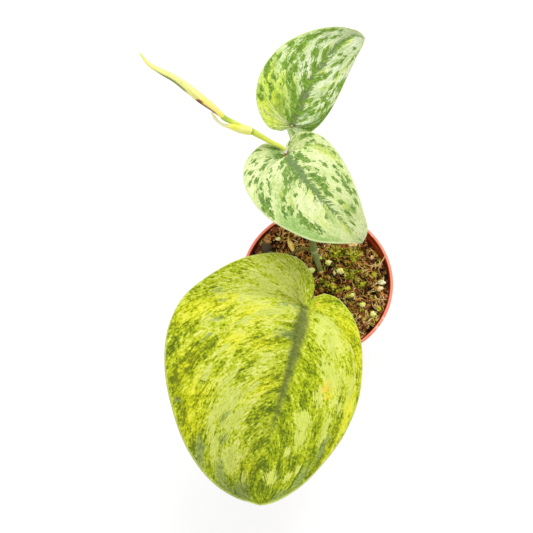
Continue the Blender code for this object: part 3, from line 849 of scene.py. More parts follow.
ROOT_FIBRE = [
    (22.2, 9.4, 57, 0.16), (24.9, 8.1, 57, 0.22), (27.4, 7.5, 57, 0.25), (28.8, 7.8, 57.2, 0.27),
    (30.3, 9.6, 58.6, 0.3), (31.9, 12.1, 60.5, 0.22),
]
ROOT_WRINKLES = (1.2, 2.4, 3.3, 4.9, 6.1, 7.0, 8.6, 9.5, 10.8)
# A stalk is closed at each end by END_ROWS rows, which stand out by END_BULGE of its radius. LINE_STEP is the
# share of a route, to either side of a point, over which its direction is taken.
END_ROWS = 6
END_BULGE = 0.35
LINE_STEP = 0.004
# Each callus is (name, place, size, how much more corky it is).
CALLUSES = [
    ("middle_leaf_joint", (-15.8, 32.6, 129.4), 0.7, 0.0),
    ("upper_leaf_joint", (-13.0, 49.3, 118.3), 0.45, 0.3),
]


def smooth_curve(points):
    """A smooth curve through the points, as a function of 0 to 1 along it, for numbers and arrays."""
    points = np.array(points, float)
    steps = np.linalg.norm(np.diff(points, axis=0), axis=1)
    knots = np.concatenate(([0.0], np.cumsum(steps))) / steps.sum()
    slopes = np.gradient(points, knots, axis=0)

    def at(share):
        share = np.asarray(share, float)
        i = np.clip(np.searchsorted(knots, share) - 1, 0, len(knots) - 2)
        span = (knots[i + 1] - knots[i])[..., None]
        f = (share - knots[i])[..., None] / span
        start = (1 + 2 * f) * (1 - f) ** 2 * points[i] + f * (1 - f) ** 2 * span * slopes[i]
        end = f * f * (3 - 2 * f) * points[i + 1] - f * f * (1 - f) * span * slopes[i + 1]
        return start + end

    return at


def set_vector(mesh, name, values):
    mesh.attributes.new(name, "FLOAT_VECTOR", "POINT").data.foreach_set("vector", values.ravel())


def grid_piece(name, columns, rows):
    """A flat grid to be shaped: the piece, and its columns and rows as numbers from 0 to 1."""
    bpy.ops.mesh.primitive_grid_add(x_subdivisions=columns, y_subdivisions=rows, size=2)
    piece = bpy.context.object
    piece.name = name
    place = np.empty(len(piece.data.vertices) * 3)
    piece.data.vertices.foreach_get("co", place)
    place = (place.reshape(-1, 3) + 1) / 2
    return piece, place[:, 0], place[:, 1]


def line_frame(route, share, facing):
    """Where a route of (x, y, z, radius) is at each share of it, and its forward, side and upward lines."""
    path = smooth_curve(route)
    here = path(share)
    ahead = (path(np.minimum(share + LINE_STEP, 1)) - path(np.maximum(share - LINE_STEP, 0)))[:, :3]
    ahead /= np.linalg.norm(ahead, axis=1)[:, None]
    side = np.cross(ahead, facing)
    side /= np.linalg.norm(side, axis=1)[:, None]
    return here[:, :3], here[:, 3], ahead, side, np.cross(side, ahead)


def stalk(name, slot, cad_node, route, look, facing, rows=110, sides=36, shape=None):
    """A grid rolled round its route, with rounded closed ends. Its turn is 90 degrees on the side that faces
    facing, and shape gives the millimetres its skin stands proud for the millimetres along and the turn."""
    piece, across, down = grid_piece(name, sides, rows)
    turn = across * math.tau
    row = down * rows
    share = np.clip((row - END_ROWS) / (rows - 2 * END_ROWS), 0, 1)
    here, radius, ahead, side, upward = line_frame(route, share, facing)
    points = np.array(route)[:, :3]
    along = share * np.linalg.norm(np.diff(points, axis=0), axis=1).sum()
    if shape:
        radius = radius + shape(along, turn)
    closing = np.clip(np.maximum(END_ROWS - row, row - rows + END_ROWS) / END_ROWS, 0, 1) * math.pi / 2
    bulge = END_BULGE * radius * np.sin(closing) * np.sign(share - 0.5)
    round_line = side * np.cos(turn)[:, None] + upward * np.sin(turn)[:, None]
    place = here + ahead * bulge[:, None] + round_line * (radius * np.cos(closing))[:, None]
    piece.data.vertices.foreach_set("co", (place * MM).ravel())
    set_attribute(piece.data, "share", share)
    set_vector(piece.data, "skin", np.stack((radius * np.cos(turn), radius * np.sin(turn), along), 1))
    close_up(piece)
    fit_piece(piece, slot, cad_node, look=look)
    return piece


def bell(value, center, width):
    """1 where the value is at the center, falling smoothly to either side of it."""
    return np.exp(-((value - center) / width) ** 2)


def joint_rings(*rings):
    """A shape for stalk: swollen joints, each a ring of (millimetres along, half length, height)."""
    def shape(along, turn):
        raised = 0.05 * np.sin(turn * 5 + along * 0.12)
        return raised + sum(height * bell(along, at, length) for at, length, height in rings)

    return shape


def stalk_look(name, dark, light, ends, speck, rough=0.42, soft=0.5):
    """A plant's skin with fine lengthwise streaks and tiny specks; ends lists the colours that shade it along
    its length, as (share, colour)."""
    look = new_look(name)
    skin = attribute(look, "skin", "Vector")
    streak = grain(look, stretched(look, skin, (2.6, 2.6, 0.22)), 1.0, 3.0, 0.6)
    fine = grain(look, stretched(look, skin, (5.5, 5.5, 1.1)), 1.0, 2.0, 0.6)
    shade = ramp(look, attribute(look, "share"), *ends)
    color = layered(look, dark, (fade(look, streak, 0.3, 0.7), light), (0.55, shade),
                    (fade(look, fine, 0.66, 0.74), speck))
    return finish_look(look, color, rough, (fine, 0.05), (streak, 0.10), soft=soft, sinks=(0.9, 1.0, 0.35))


def make_stems():
    # The stem is darker and browner at its foot: partly its own colour, partly painted shade where it meets
    # the peat.
    skin = stalk_look("stem_skin", (114, 132, 58), (158, 174, 84),
                      ((0.0, (84, 76, 36)), (0.14, (116, 122, 66)), (0.27, (138, 152, 88)),
                       (0.285, (226, 228, 170)), (0.30, (112, 136, 66)), (0.64, (140, 168, 88)),
                       (0.67, (168, 172, 94)), (1.0, (160, 190, 100))), (196, 206, 146))
    rings = joint_rings((23.0, 0.5, 0.16), (24.6, 0.35, 0.10), (53.2, 0.6, 0.16), (55, 0.35, 0.08),
                        (66, 0.4, 0.06), (78.5, 1.2, 0.2))
    stalk("climbing_stem", "stem", "main_stem", STEM_ROUTE, skin, (1, 0, 0), rows=260, shape=rings)
    brown = stalk_look("root_skin", (84, 70, 18), (140, 122, 36),
                       ((0.0, (120, 118, 34)), (1.0, (110, 74, 22))), (170, 138, 60), 0.8)
    wrinkles = joint_rings(*((at, 0.22, 0.06) for at in ROOT_WRINKLES))
    stalk("aerial_root", "root", "aerial_root", AERIAL_ROOT_ROUTE, brown, (0, 0, 1), shape=wrinkles)
    pale = stalk_look("stalk_skin", (190, 216, 132), (226, 240, 170),
                      ((0.0, (150, 182, 96)), (0.45, (214, 234, 152)), (1.0, (236, 247, 180))),
                      (240, 248, 196))
    for leaf, route, rings in (
            ("large_leaf", LARGE_STALK_ROUTE, joint_rings((2, 3, 0.3), (53, 2.6, 0.18))),
            ("upper_leaf", UPPER_STALK_ROUTE, joint_rings((1, 1.6, 0.35), (27, 1.6, 0.14))),
            ("middle_leaf", MIDDLE_STALK_ROUTE, joint_rings((0.6, 0.8, 0.3), (9, 1.2, 0.12)))):
        stalk(leaf + "_stalk", "stem", leaf + "_petiole", route, pale, (1, 0, 0), shape=rings)
    route = [(x, y, max(z, soil_height(x, y) + 0.4), radius) for x, y, z, radius in ROOT_FIBRE]
    pink = stalk_look("root_fibre_skin", (206, 140, 84), (250, 200, 150),
                      ((0.0, (220, 200, 110)), (0.5, (226, 190, 120)), (0.7, (252, 180, 140)),
                       (1.0, (255, 176, 136))), (255, 220, 190), 0.7)
    stalk("root_fibre", "root", "root_fibre", route, pink, (0, 0, 1), sides=16)


def make_calluses():
    """The swollen joint where a stalk meets its blade: a knob painted pale lilac, as a painted highlight,
    with a corky brown ring.
    """
    look = new_look("callus")
    speck = grain(look, place_on(look), 1400.0, 2.0, 0.6)
    corky = plus(look, attribute(look, "cork"), speck, 0.8)
    # Painted highlight: the knob's pale lilac stands in for a highlight on it.
    color = ramp(look, corky, (0.3, (204, 200, 204)), (0.5, (190, 180, 158)), (0.66, (200, 146, 84)),
                 (0.95, (168, 110, 52)))
    finish_look(look, color, 0.6, (speck, 0.1))
    for name, place, size, corkier in CALLUSES:
        bpy.ops.mesh.primitive_uv_sphere_add(segments=32, ring_count=20, radius=1)
        knob = bpy.context.object
        knob.name = name
        cork = []
        for vert in knob.data.vertices:
            cork.append(0.8 * max(0.0, -vert.co.y) - 0.3 + corkier)
            vert.co *= 1 + 0.16 * noise.noise(vert.co * 1.7)
            flat = Vector((0.8 * vert.co.x, 1.3 * vert.co.y, 0.6 * vert.co.z))
            vert.co = (flat * size + Vector(place)) * MM
        set_attribute(knob.data, "cork", cork)
        fit_piece(knob, "stem", look=look)


make_stems()
make_calluses()


# Leaves. Three thin heart-shaped blades with a satin, faintly quilted surface, marbled along their veins
# in yellow-green, mint and green. Each hangs from its stalk, and is paler and duller underneath.
# The veins that end in the first FAN_SHARE of a margin fan out from the stalk, and the rest start along the
# midrib; VEIN_BOW and VEIN_CURL shape them. RAISED lifts the upper side over the line of the blade. SWELL to
# RIB_GROOVE are the heights and depths of its relief.
FAN_SHARE = 0.42
VEIN_BOW = 0.24
VEIN_CURL = 1.25
RAISED = 0.25
SWELL = 0.45
PUCKER = 0.16
QUILT = 0.09
RIB_GROOVE = 0.45
RIB_THICKNESS = 1.2
# A leaf's angles are in degrees. Its midrib and margins are (x, y) on the flat blade, from the stalk to the
# tip. Pairs for veins are for the right and left half, and rib is (y, half width) of the darker band along
# the midrib. Crepe 1 wrinkles the right half only, and 0 both halves by half as much.
LARGE_LEAF = {
    "seed": 24,
    "junction": (-8.0, -22.4, 100.0), "heading": -103, "pitch": -6, "droop": 22, "roll": -24, "twist": 4,
    "fold": 8, "arch_right": 30, "arch_left": 36, "length": 86, "width": 50,
    "midrib": [(0, 0), (-0.2, 22), (0, 50), (-1.7, 69), (-5.2, 82.5)],
    "right": [(0.4, -15.2), (5.6, -18.2), (13.2, -18.8), (27.5, -14.2), (41, -3.4), (50, 9.6), (52, 21.5),
              (49.2, 36.6), (41.4, 52.4), (30, 67), (14, 78.2), (3, 81.8), (-5.2, 82.5)],
    "left": [(-7.2, -7.9), (-12, -7.8), (-18.6, -4.8), (-26.4, 2.8), (-32.4, 15.8), (-35, 31),
             (-32.4, 46.6), (-26.4, 59.4), (-18, 72.4), (-10.4, 79.6), (-5.2, 82.5)],
    "sinus_bow": (0.34, 0.2), "vein_sweep": (0.26, 0.42), "side_veins": 20, "crepe": 1.0,
    "wander": 1.4, "wander_scale": 0.3,
    "rib": [
        (-3, 0.5), (0, 1.6), (4, 2.9), (10, 3.2), (15, 2.3), (28, 1.7), (40, 1.2), (50, 0.3), (58, -0.9),
    ],
}
MIDDLE_LEAF = {
    "seed": 31,
    "junction": (-15.55, 31.45, 129.0), "heading": -46, "pitch": -12, "droop": 14, "roll": -14, "twist": 0,
    "fold": 8, "arch_right": 24, "arch_left": 24, "length": 47, "width": 22,
    "midrib": [(0, 0), (1.2, 7), (1.1, 15), (0.8, 25), (-0.4, 34), (-1.8, 45.8)],
    "right": [(0.1, -5.8), (3.4, -8.8), (9, -9.5), (16, -7.9), (21, -3.3), (23.7, 4), (23.8, 12),
              (20.8, 22.2), (15.4, 32), (8.6, 38.4), (-1.8, 45.8)],
    "left": [(-3.2, -3.4), (-7.8, -4.1), (-13.6, -2.5), (-18.2, 2.6), (-19.6, 9.8), (-18, 19), (-14.2, 28.6),
             (-10.4, 36.6), (-6, 43.8), (-1.8, 45.8)],
    "sinus_bow": (0.12, 0.04), "vein_sweep": (0.3, 0.36), "side_veins": 14, "crepe": 0.0,
    "wander": 0.9, "wander_scale": 0.6,
    "rib": [(-2, 0.8), (1, 2.2), (4, 2.9), (8, 2.6), (12, 1.9), (22, 1.4), (29, 0.7), (36, 0.0), (46, 0.0)],
}
UPPER_LEAF = {
    "seed": 28,
    "junction": (-13.1, 49.7, 118.0), "heading": 56, "pitch": 12, "droop": 24, "roll": 22, "twist": 0,
    "fold": 8, "arch_right": 28, "arch_left": 24, "length": 56, "width": 22,
    "midrib": [(0, 0), (-1.9, 9), (-3.3, 20), (-2.7, 33), (-0.6, 42), (3.6, 50), (7.2, 51.8)],
    "right": [(3.2, -2.2), (6.4, -0.8), (9, 4.6), (10.2, 13), (9.8, 22), (8.8, 31), (8, 41), (7.8, 48),
              (7.2, 51.8)],
    "left": [(-2.4, -4.5), (-6.8, -6), (-12.4, -4.3), (-18, 0.3), (-21.6, 7.2), (-22.7, 15.4), (-20.9, 26),
             (-15.4, 36.2), (-9.2, 43.8), (-2.2, 49.7), (4, 52.3), (7.2, 51.8)],
    "sinus_bow": (0.1, 0.12), "vein_sweep": (0.42, 0.42), "side_veins": 14, "crepe": 0.0,
    "wander": 0.9, "wander_scale": 0.6,
    "rib": [(-1, 0.8), (2, 1.9), (8, 2.2), (16, 2.0), (24, 1.6), (34, 1.3), (44, 0.8), (50, 0.2)],
}
# Marks are streaks of (x, y, half length, half width) on the flat blade, drawn out along its veins, and
# round spots of (x, y, radius).
LARGE_MARKS = {
    "patch": [
        (-11, 3, 6, 1.5), (-15, 12, 6, 2), (-18, 24, 7, 2.3), (-16, 33, 4, 2.2), (-13.4, 21, 2.4, 1.4),
        (-23, 25, 4, 1.3), (-25.6, 36, 3, 1.7), (-30, 27, 5, 1.2), (-24, 11, 3, 0.7), (-22, 46, 7, 1.2),
        (-11.5, 44.5, 4.5, 3.2), (-12.4, 51.5, 4, 2.4), (-9.4, 58, 2.6, 1.3), (-15.6, 64, 2.4, 0.8),
        (-12.5, 68, 2.4, 1.1), (-6, 70, 3, 2.2), (-28, 18, 3, 0.8),
        (16, 6, 6, 1), (9, 2.6, 5, 1), (25, 12, 5, 1), (14, -9, 7, 1.4), (24, -7, 5, 1), (8, -12, 5, 1.2),
        (17, -5, 6, 1), (8, -5, 5, 0.9), (21, 42, 6, 2.6),
        (17, 51, 6, 2.4), (25, 51, 6, 1.8), (14, 66, 5, 2.4), (21.6, 62, 6, 1.8), (13, 36, 4, 1.1),
        (24, 35, 5, 1), (33, 35, 5, 1), (30, 24, 5, 0.9), (38, 14, 3, 0.8), (6, 72, 3, 1),
        (22, 0.6, 7, 1.3), (20, -2.6, 6, 1),
    ],
    "light": [
        (12, 5, 12, 6), (20, 46, 11, 7), (14, 64, 9, 5), (12, -8, 14, 8), (-31, 33, 14, 2.4), (28, 30, 9, 5),
        (-16, 9, 12, 7), (22, -1, 11, 6), (9, 25, 7, 3), (-22, 25, 10, 5), (20, -14, 10, 5), (40, 20, 8, 3),
    ],
    "deep": [
        (12, -16.4, 5, 0.9), (14, -2.2, 7, 0.5), (6, 13, 4, 1.6), (3, 9, 5, 1.6), (47, 27, 12, 2.2),
        (40.5, 28, 8, 2.6), (44, 42, 7, 3), (-1, 79, 5, 3), (2, 75, 5, 3), (-7, 78, 5, 2.4), (38, 31, 8, 2.4),
        (22, 24, 5, 0.9), (27, 29, 6, 0.9), (13, 17, 4, 0.8), (22, 33, 4, 0.8), (2.6, 34, 5, 1.4),
        (6, 42, 5, 3), (10, 47, 4, 2.2), (38, 52, 6, 1.4), (10, 57, 5, 1.9), (3, 58, 8, 2.2), (2, 68, 9, 2),
        (28, 64, 8, 2.2), (-5.4, 21, 10, 1.6), (-9, 36, 6, 2.2), (-26, 30, 5, 1.2), (-27.5, 46, 8, 1.7),
        (-22, 60, 9, 2.6), (-17, 70, 8, 2.6), (37, 55, 7, 1.8), (-4, 75, 8, 3), (6, 73, 8, 2.4),
        (-8, 66, 5, 1.2), (-18, 44, 6, 1.5), (-4, 50, 9, 2.6), (-12, 61.5, 4, 1.8), (-2, 66, 10, 2.2),
        (34, 22, 7, 1.2), (18, 16, 6, 0.8), (-25, 8, 5, 0.8), (41, 48, 1.4, 1.2), (-14, 75, 6, 1.6),
        (8, 79, 8, 2), (-11, -5.6, 5, 1.2), (-26, 16, 6, 1), (33, 38, 6, 1.2),
        (-3, 81, 6, 3), (-24, 53, 8, 2.4), (-0.6, 57, 8, 2.8), (-19.6, 57, 7, 1.6), (-2, 38, 7, 1.6),
    ],
    "warm": [
        (22, 8, 7, 3.4), (32, 5, 6, 2.6), (45, 12, 8, 4), (10, 34, 6, 2.6), (35, 45, 8, 4.6),
        (33, 55, 7, 4.6), (-7, -2.4, 4, 1.8), (-22, 3, 11, 4), (-28, 12, 8, 3), (42, 34, 10, 3.4),
        (5, 68, 3, 2), (14, 18, 6, 2.6), (-31, 36, 14, 2.2), (-26, 56, 10, 1.6), (36, 8, 6, 3),
        (26, 20, 6, 3), (-19, 29, 4, 2), (-31.6, 14, 10, 2.6), (-29, 6, 7, 2.6),
    ],
    "grey": [
        (34, 6, 3, 0.8), (35.5, 14, 3, 0.7), (37, 21, 3, 0.7), (21, 49.5, 4, 1.6), (14, 75, 10, 2.2),
        (-18, 68, 7, 1.4), (7, 0.6, 6, 1.4), (7, -5, 4, 1.4), (26, 67, 8, 1.8), (5, 12, 5, 1.8),
        (41, 48, 1.2, 1), (18, 57, 5, 1.4), (-11, 78, 5, 1.8), (37, 2, 3, 0.6), (-24, 54, 6, 1.2),
        (4, 79, 6, 2.4),
    ],
    "amber_spots": [
        (-17.6, 29.2, 2.0), (-18.8, 32.6, 1.2), (-18.2, 26.4, 1.0), (-5.6, -3, 0.8), (-16, 30.6, 1),
    ],
    "brown_spots": [
        (-33.4, 17.4, 0.7), (-32.2, 18, 0.45), (10, 66.6, 0.4), (41.2, 47.4, 0.5), (41.8, 46.6, 0.35),
    ],
}
MIDDLE_MARKS = {
    "patch": [
        (8.8, -8.9, 2.2, 0.5), (2.6, -5.4, 2.4, 0.6), (2.6, -1.6, 2.4, 1.1), (12.6, -6.3, 1.5, 0.5),
        (-11.6, -1.7, 2.2, 0.6), (-8, -3.3, 1.6, 0.4), (-4.4, -2.8, 1.3, 0.5), (-14.6, -0.3, 1.4, 0.5),
        (18.6, -5.4, 1.2, 0.5), (7.4, -3.5, 1.8, 0.6), (11.5, -2.2, 1.4, 0.6), (12.4, -4.9, 0.9, 0.4),
        (17.2, -3.8, 1.2, 0.4), (10, 0.2, 1.2, 0.35), (17, -0.4, 2, 0.5), (19.8, -1.2, 1.6, 0.5),
        (17.6, 2.8, 1.6, 0.7), (19.6, 2.4, 1.2, 0.5), (14.8, 4, 1.5, 0.7), (15.8, 5.4, 1.3, 0.4),
        (20.4, 6.6, 2.6, 1.2), (22, 10, 2.6, 1.1), (19.4, 9, 2.2, 0.9), (21.2, 12.6, 2, 0.9),
        (16.2, 14.2, 1, 0.6), (14, 12.4, 2.4, 0.7), (14.8, 16.4, 2.4, 0.8), (18, 16.4, 1.6, 0.8),
        (11, 9.6, 2.4, 0.6), (9.4, 13.8, 1, 0.6), (4.6, 12, 1.6, 0.6), (13.6, 24, 3.6, 1.1),
        (10.6, 30, 2.4, 0.8), (4.8, 28, 1.5, 0.5), (2.6, 25, 2, 0.7), (12, 28, 2.8, 0.7),
        (5, 1.9, 2.8, 0.6), (5.2, 3.9, 2.6, 0.7), (6.4, 6.3, 4.6, 0.9), (7, 8.3, 3.2, 0.7),
        (3.4, 9, 2.6, 1), (3, 14.6, 2, 0.7), (3.4, 19.6, 2.2, 0.6), (13, 19.6, 1.6, 0.5),
        (-3.6, 1.8, 2, 0.6), (-4, 5.2, 2.4, 0.6), (-5.2, 7.1, 2.2, 0.5), (-3.2, 9.3, 2, 0.8),
        (-3, 3.2, 2.2, 0.9), (-13, -0.4, 2.6, 0.4), (-13.2, 2.4, 1.4, 0.5), (-10.4, 1.8, 1.4, 0.6),
        (-8, 2.4, 1, 0.4), (-14.6, 5.6, 2.4, 0.4), (-18.4, 4, 0.9, 0.5), (-17.8, 8.6, 1.1, 0.5),
        (-17.6, 11.4, 1, 0.6), (-10, 12, 1.3, 0.8), (-6, 11.6, 0.9, 0.5), (-15.8, 16.8, 1.3, 0.7),
        (-13.2, 15.6, 1.3, 0.5), (-5.8, 16.4, 1, 0.6), (-12.4, 19.8, 2.2, 0.5), (-9.2, 19.2, 1.6, 0.7),
        (-14.2, 22.8, 2.2, 0.8), (-11.4, 24, 2.2, 1), (-7.2, 23.4, 0.9, 0.5), (-2.8, 21.6, 2.6, 1.3),
        (-11, 27.8, 1.6, 0.9), (-4.8, 28, 1.4, 0.6), (-7.4, 33, 1.7, 1), (-4.2, 32.6, 1.8, 0.7),
        (-10.6, 31.4, 1.4, 0.6), (-3.4, 15.6, 2.6, 1.3), (-2.6, 12.6, 1.8, 1.0), (-3, 18.6, 2.4, 1.2),
        (-13, 28, 1.4, 0.6), (-3, 37, 1.6, 0.5),
    ],
    "light": [(8, 20, 8, 4), (-10, 8, 7, 4), (12, -3, 8, 4), (8, 3, 4, 2), (-3.6, 41.5, 4, 2.4)],
    "deep": [(19, 24, 9, 3), (14, 31, 8, 2.6), (8.4, 37, 6, 2), (3, 30, 5, 1.4), (14, 12, 3, 1.4)],
    "warm": [
        (-13, -1.6, 8, 1.1), (-12, 4, 7, 0.6), (-15, 10, 6, 1.4), (13.4, 10.4, 2.4, 0.7),
        (2.8, 8.6, 1.8, 0.8), (2.6, 26, 3.4, 0.9), (8, 29, 3, 0.8), (12.6, 15, 2, 0.6), (2.6, 17, 3, 0.7),
        (-3.6, 18.6, 3, 0.8), (13, 26, 2.6, 0.8), (-5, 30, 3, 0.8), (0.6, 36, 5, 1.2),
    ],
    "grey": [(3, -3, 3.4, 1.8), (18, 25, 12, 3), (12.6, 34, 7, 2)],
    "amber_spots": [(0.1, -0.1, 0.6)],
    "brown_spots": [(2.7, 11.8, 0.32), (3.2, 12, 0.25)],
}
UPPER_MARKS = {
    "patch": [
        (-17, 2, 1.6, 0.9), (-18.4, 5, 1, 0.6), (-15.2, 7.4, 1.9, 0.9), (-11.2, 6.8, 0.8, 0.6),
        (-16.8, 12.2, 1.2, 0.9), (-12.8, 10.8, 0.9, 0.5), (-17, 8.8, 0.9, 0.7), (-3.6, 2.2, 2.4, 0.8),
        (-3.2, 6, 2.4, 1.1), (-6, 10.6, 4, 1.2), (-11, 15.2, 3.6, 1.4), (-15.6, 19, 2.2, 1.1),
        (-15, 22.6, 2.3, 1.3), (-11.8, 20.4, 2.6, 1.2), (-21.3, 14, 6, 0.7), (-18, 28.4, 2, 0.8),
        (-14.4, 29, 3.6, 0.9), (-13.4, 35, 2.8, 1), (-11, 26, 1.4, 0.9), (-8.2, 31, 2.2, 1.1),
        (-5.6, 26, 4.4, 1.1), (-11.8, 37, 2, 0.7), (-8, 37.6, 3.2, 0.6), (-10.4, 40.2, 2.6, 0.7),
        (-7, 44.2, 2.2, 0.6), (-4, 42.8, 2.2, 0.5), (-3, 47, 1.4, 0.4), (-5.4, 18, 4, 1.3),
        (-4.6, 34, 3, 0.8), (-8.6, 23.6, 1.2, 0.6), (-19.6, 21, 1.4, 0.7), (-7.4, 5.6, 1.6, 0.5),
        (-14, 4.2, 1, 0.5), (6.6, 3, 3, 1.2), (9.2, 6, 4, 1), (1, 8, 3, 0.5), (4.4, 8.6, 1.8, 0.7),
        (3.4, 12.6, 3.6, 0.7), (0.4, 13, 2, 0.6), (7.6, 14, 3.4, 0.9), (9.8, 13, 4.6, 0.6),
        (5.6, 16.6, 2.6, 0.5), (-1.8, 21.6, 3.6, 1.2), (1, 25.4, 2, 0.7), (5.2, 22, 3, 0.5),
        (8.6, 25.8, 3, 1.2), (7, 21, 2, 0.5), (4.4, 28.6, 2, 0.5), (1.6, 32.4, 2.2, 0.5),
        (3.4, 34.6, 1.6, 0.5), (1.4, 37.4, 1.8, 0.4), (6.9, 39, 4, 0.3), (5.4, 43.6, 0.8, 0.5),
        (3.8, 38, 1, 0.4), (1.6, 46.6, 2, 0.5), (-0.4, 41, 2, 0.6), (2.6, 4, 1.6, 0.4),
    ],
    # The light streak at (4, 48) is painted light over the blade's tip.
    "light": [
        (2, 28, 7, 3), (3, 5, 3, 1.6), (-8, 22, 4, 2), (-6, 40, 6, 3), (2.4, 17, 3, 1), (4, 48, 6, 2.6),
        (7.6, 36, 10, 1.2), (-9, -3, 7, 2.6), (-4, 47, 4, 1.4),
    ],
    "deep": [(8.6, 8, 8, 2), (-4, 8, 7, 2), (-14, 32, 8, 1.6), (-7, 2, 5, 1)],
    "warm": [
        (-9, -3.4, 9, 4), (-15, 0.4, 9, 5), (-12, 5, 10, 4.4), (-18, 8, 6, 3), (0.2, 12, 2.6, 0.7),
        (-7, 11.6, 6, 1.4), (-0.6, 26.6, 3.6, 0.5), (1.4, 44.6, 2.6, 0.9), (5.6, 30, 9, 0.4),
        (2.6, 20.6, 1.4, 0.5), (-13, 30, 3, 0.6), (-3.8, 33, 5, 0.8), (-19, 12, 8, 1.6), (-13, 13, 5, 1.6),
    ],
    "grey": [(8.8, 8, 8, 1.6), (8.6, 27, 4, 1.3), (2, 6, 4, 1.6), (2.2, 16, 4, 1)],
    "amber_spots": [(-0.3, -0.5, 0.4)],
    "brown_spots": [(-21.7, 21, 0.5), (-0.3, -0.9, 0.4)],
}


def bend_line(start, bend, distance):
    """How far a line goes along and up when its slope starts at start and falls by bend a unit."""
    end = start - bend * distance
    return (np.sin(start) - np.sin(end)) / bend, (np.cos(end) - np.cos(start)) / bend


def leaf_axes(leaf):
    """The blade's forward, sideways and upward directions at its stalk, before it is rolled."""
    heading = math.radians(leaf["heading"])
    pitch = math.radians(leaf["pitch"])
    level = np.array((math.cos(heading), math.sin(heading), 0.0))
    side = np.array((math.sin(heading), -math.cos(heading), 0.0))
    forward = level * math.cos(pitch) + np.array((0, 0, math.sin(pitch)))
    upward = np.array((0, 0, math.cos(pitch))) - level * math.sin(pitch)
    return forward, side, upward


def bend_leaf(leaf, x, y, relief):
    """Places in space for points of the flat blade raised by a relief, all in millimetres."""
    forward, side, upward = leaf_axes(leaf)
    droop = math.radians(leaf["droop"]) / leaf["length"]
    along, rise = bend_line(0.0, droop, y)
    slope = -droop * y
    arch = np.radians(np.where(x > 0, leaf["arch_right"], leaf["arch_left"])) / leaf["width"]
    across, lift = bend_line(math.radians(leaf["fold"]), arch, abs(x))
    lift = lift + relief
    along = along - np.sin(slope) * lift
    rise = rise + np.cos(slope) * lift
    across = np.copysign(across, x)
    roll = np.radians(leaf["roll"] + leaf["twist"] * y / leaf["length"])
    sideways = across * np.cos(roll) + rise * np.sin(roll)
    rise = rise * np.cos(roll) - across * np.sin(roll)
    return (np.array(leaf["junction"]) + along[:, None] * forward + sideways[:, None] * side
            + rise[:, None] * upward)


def flat_blade(leaf, share, across, half):
    """Points of the flat blade: share runs from the sinus to the tip, across from midrib to margin."""
    start = smooth_curve(leaf["midrib"])(np.maximum(0.0, (share - FAN_SHARE) / (1 - FAN_SHARE)))
    right = half[:, None] > 0
    end = np.where(right, smooth_curve(leaf["right"])(share), smooth_curve(leaf["left"])(share))
    chord = end - start
    sinus_bow = np.where(half > 0, *leaf["sinus_bow"])
    bow = (sinus_bow + (VEIN_BOW - sinus_bow) * smoothstep(0.0, 0.3, share)) * half
    middle = (start + end) / 2 + bow[:, None] * np.stack((chord[:, 1], -chord[:, 0]), 1)
    t = across[:, None]
    return (1 - t) ** 2 * start + 2 * t * (1 - t) * middle + t ** 2 * end, np.linalg.norm(chord, axis=1)


def vein_number(leaf, share, across, half):
    """Which vein a point lies on: veins run level near the stalk and sweep towards the tip further on."""
    sweep = np.where(half > 0, *leaf["vein_sweep"]) * smoothstep(0.2, 0.9, share)
    return share - sweep * across ** VEIN_CURL


def vein_at(leaf, share, across, half):
    """The direction of the vein at a point, and how many millimetres a unit of vein number spans there."""
    def step(share_step, across_step):
        shares = np.array([share + share_step, share - share_step])
        acrosses = np.array([across + across_step, across - across_step])
        halves = np.array([half, half])
        there = flat_blade(leaf, shares, acrosses, halves)[0]
        veins = vein_number(leaf, shares, acrosses, halves)
        return there[0] - there[1], veins[0] - veins[1]

    over, over_veins = step(0.01, 0.0)
    out, out_veins = step(0.0, 0.01)
    along = out - over * out_veins / over_veins
    along /= np.hypot(*along)
    return along, abs(over[0] * along[1] - over[1] * along[0]) / over_veins


def streak_field(leaf, grid, streaks, wander):
    """How far each point of the flat blade lies inside a streak: 1 at its middle and 0.5 at its edge."""
    x, y, share, across, half = grid
    vein = vein_number(leaf, share, across, half)
    field = np.zeros_like(x)
    for at_x, at_y, length, width in streaks:
        near = np.argmin((x - at_x) ** 2 + (y - at_y) ** 2)
        along, spacing = vein_at(leaf, share[near], max(across[near], 0.03), half[near])
        far = (((x - at_x) * along[0] + (y - at_y) * along[1] + wander[:, 0]) / length) ** 2
        far += (((vein - vein[near]) * spacing + wander[:, 1]) / width) ** 2
        field = np.maximum(field, np.where(half == half[near], 0.5 ** far, 0))
    return field


def spot_field(x, y, spots):
    """How far each point lies inside a round spot: 1 at its middle and 0.5 at its edge."""
    return np.max([0.5 ** (((x - at_x) ** 2 + (y - at_y) ** 2) / size ** 2)
                   for at_x, at_y, size in spots], axis=0)


def each_vertex(function, points):
    return np.array([function(Vector(point)) for point in points])


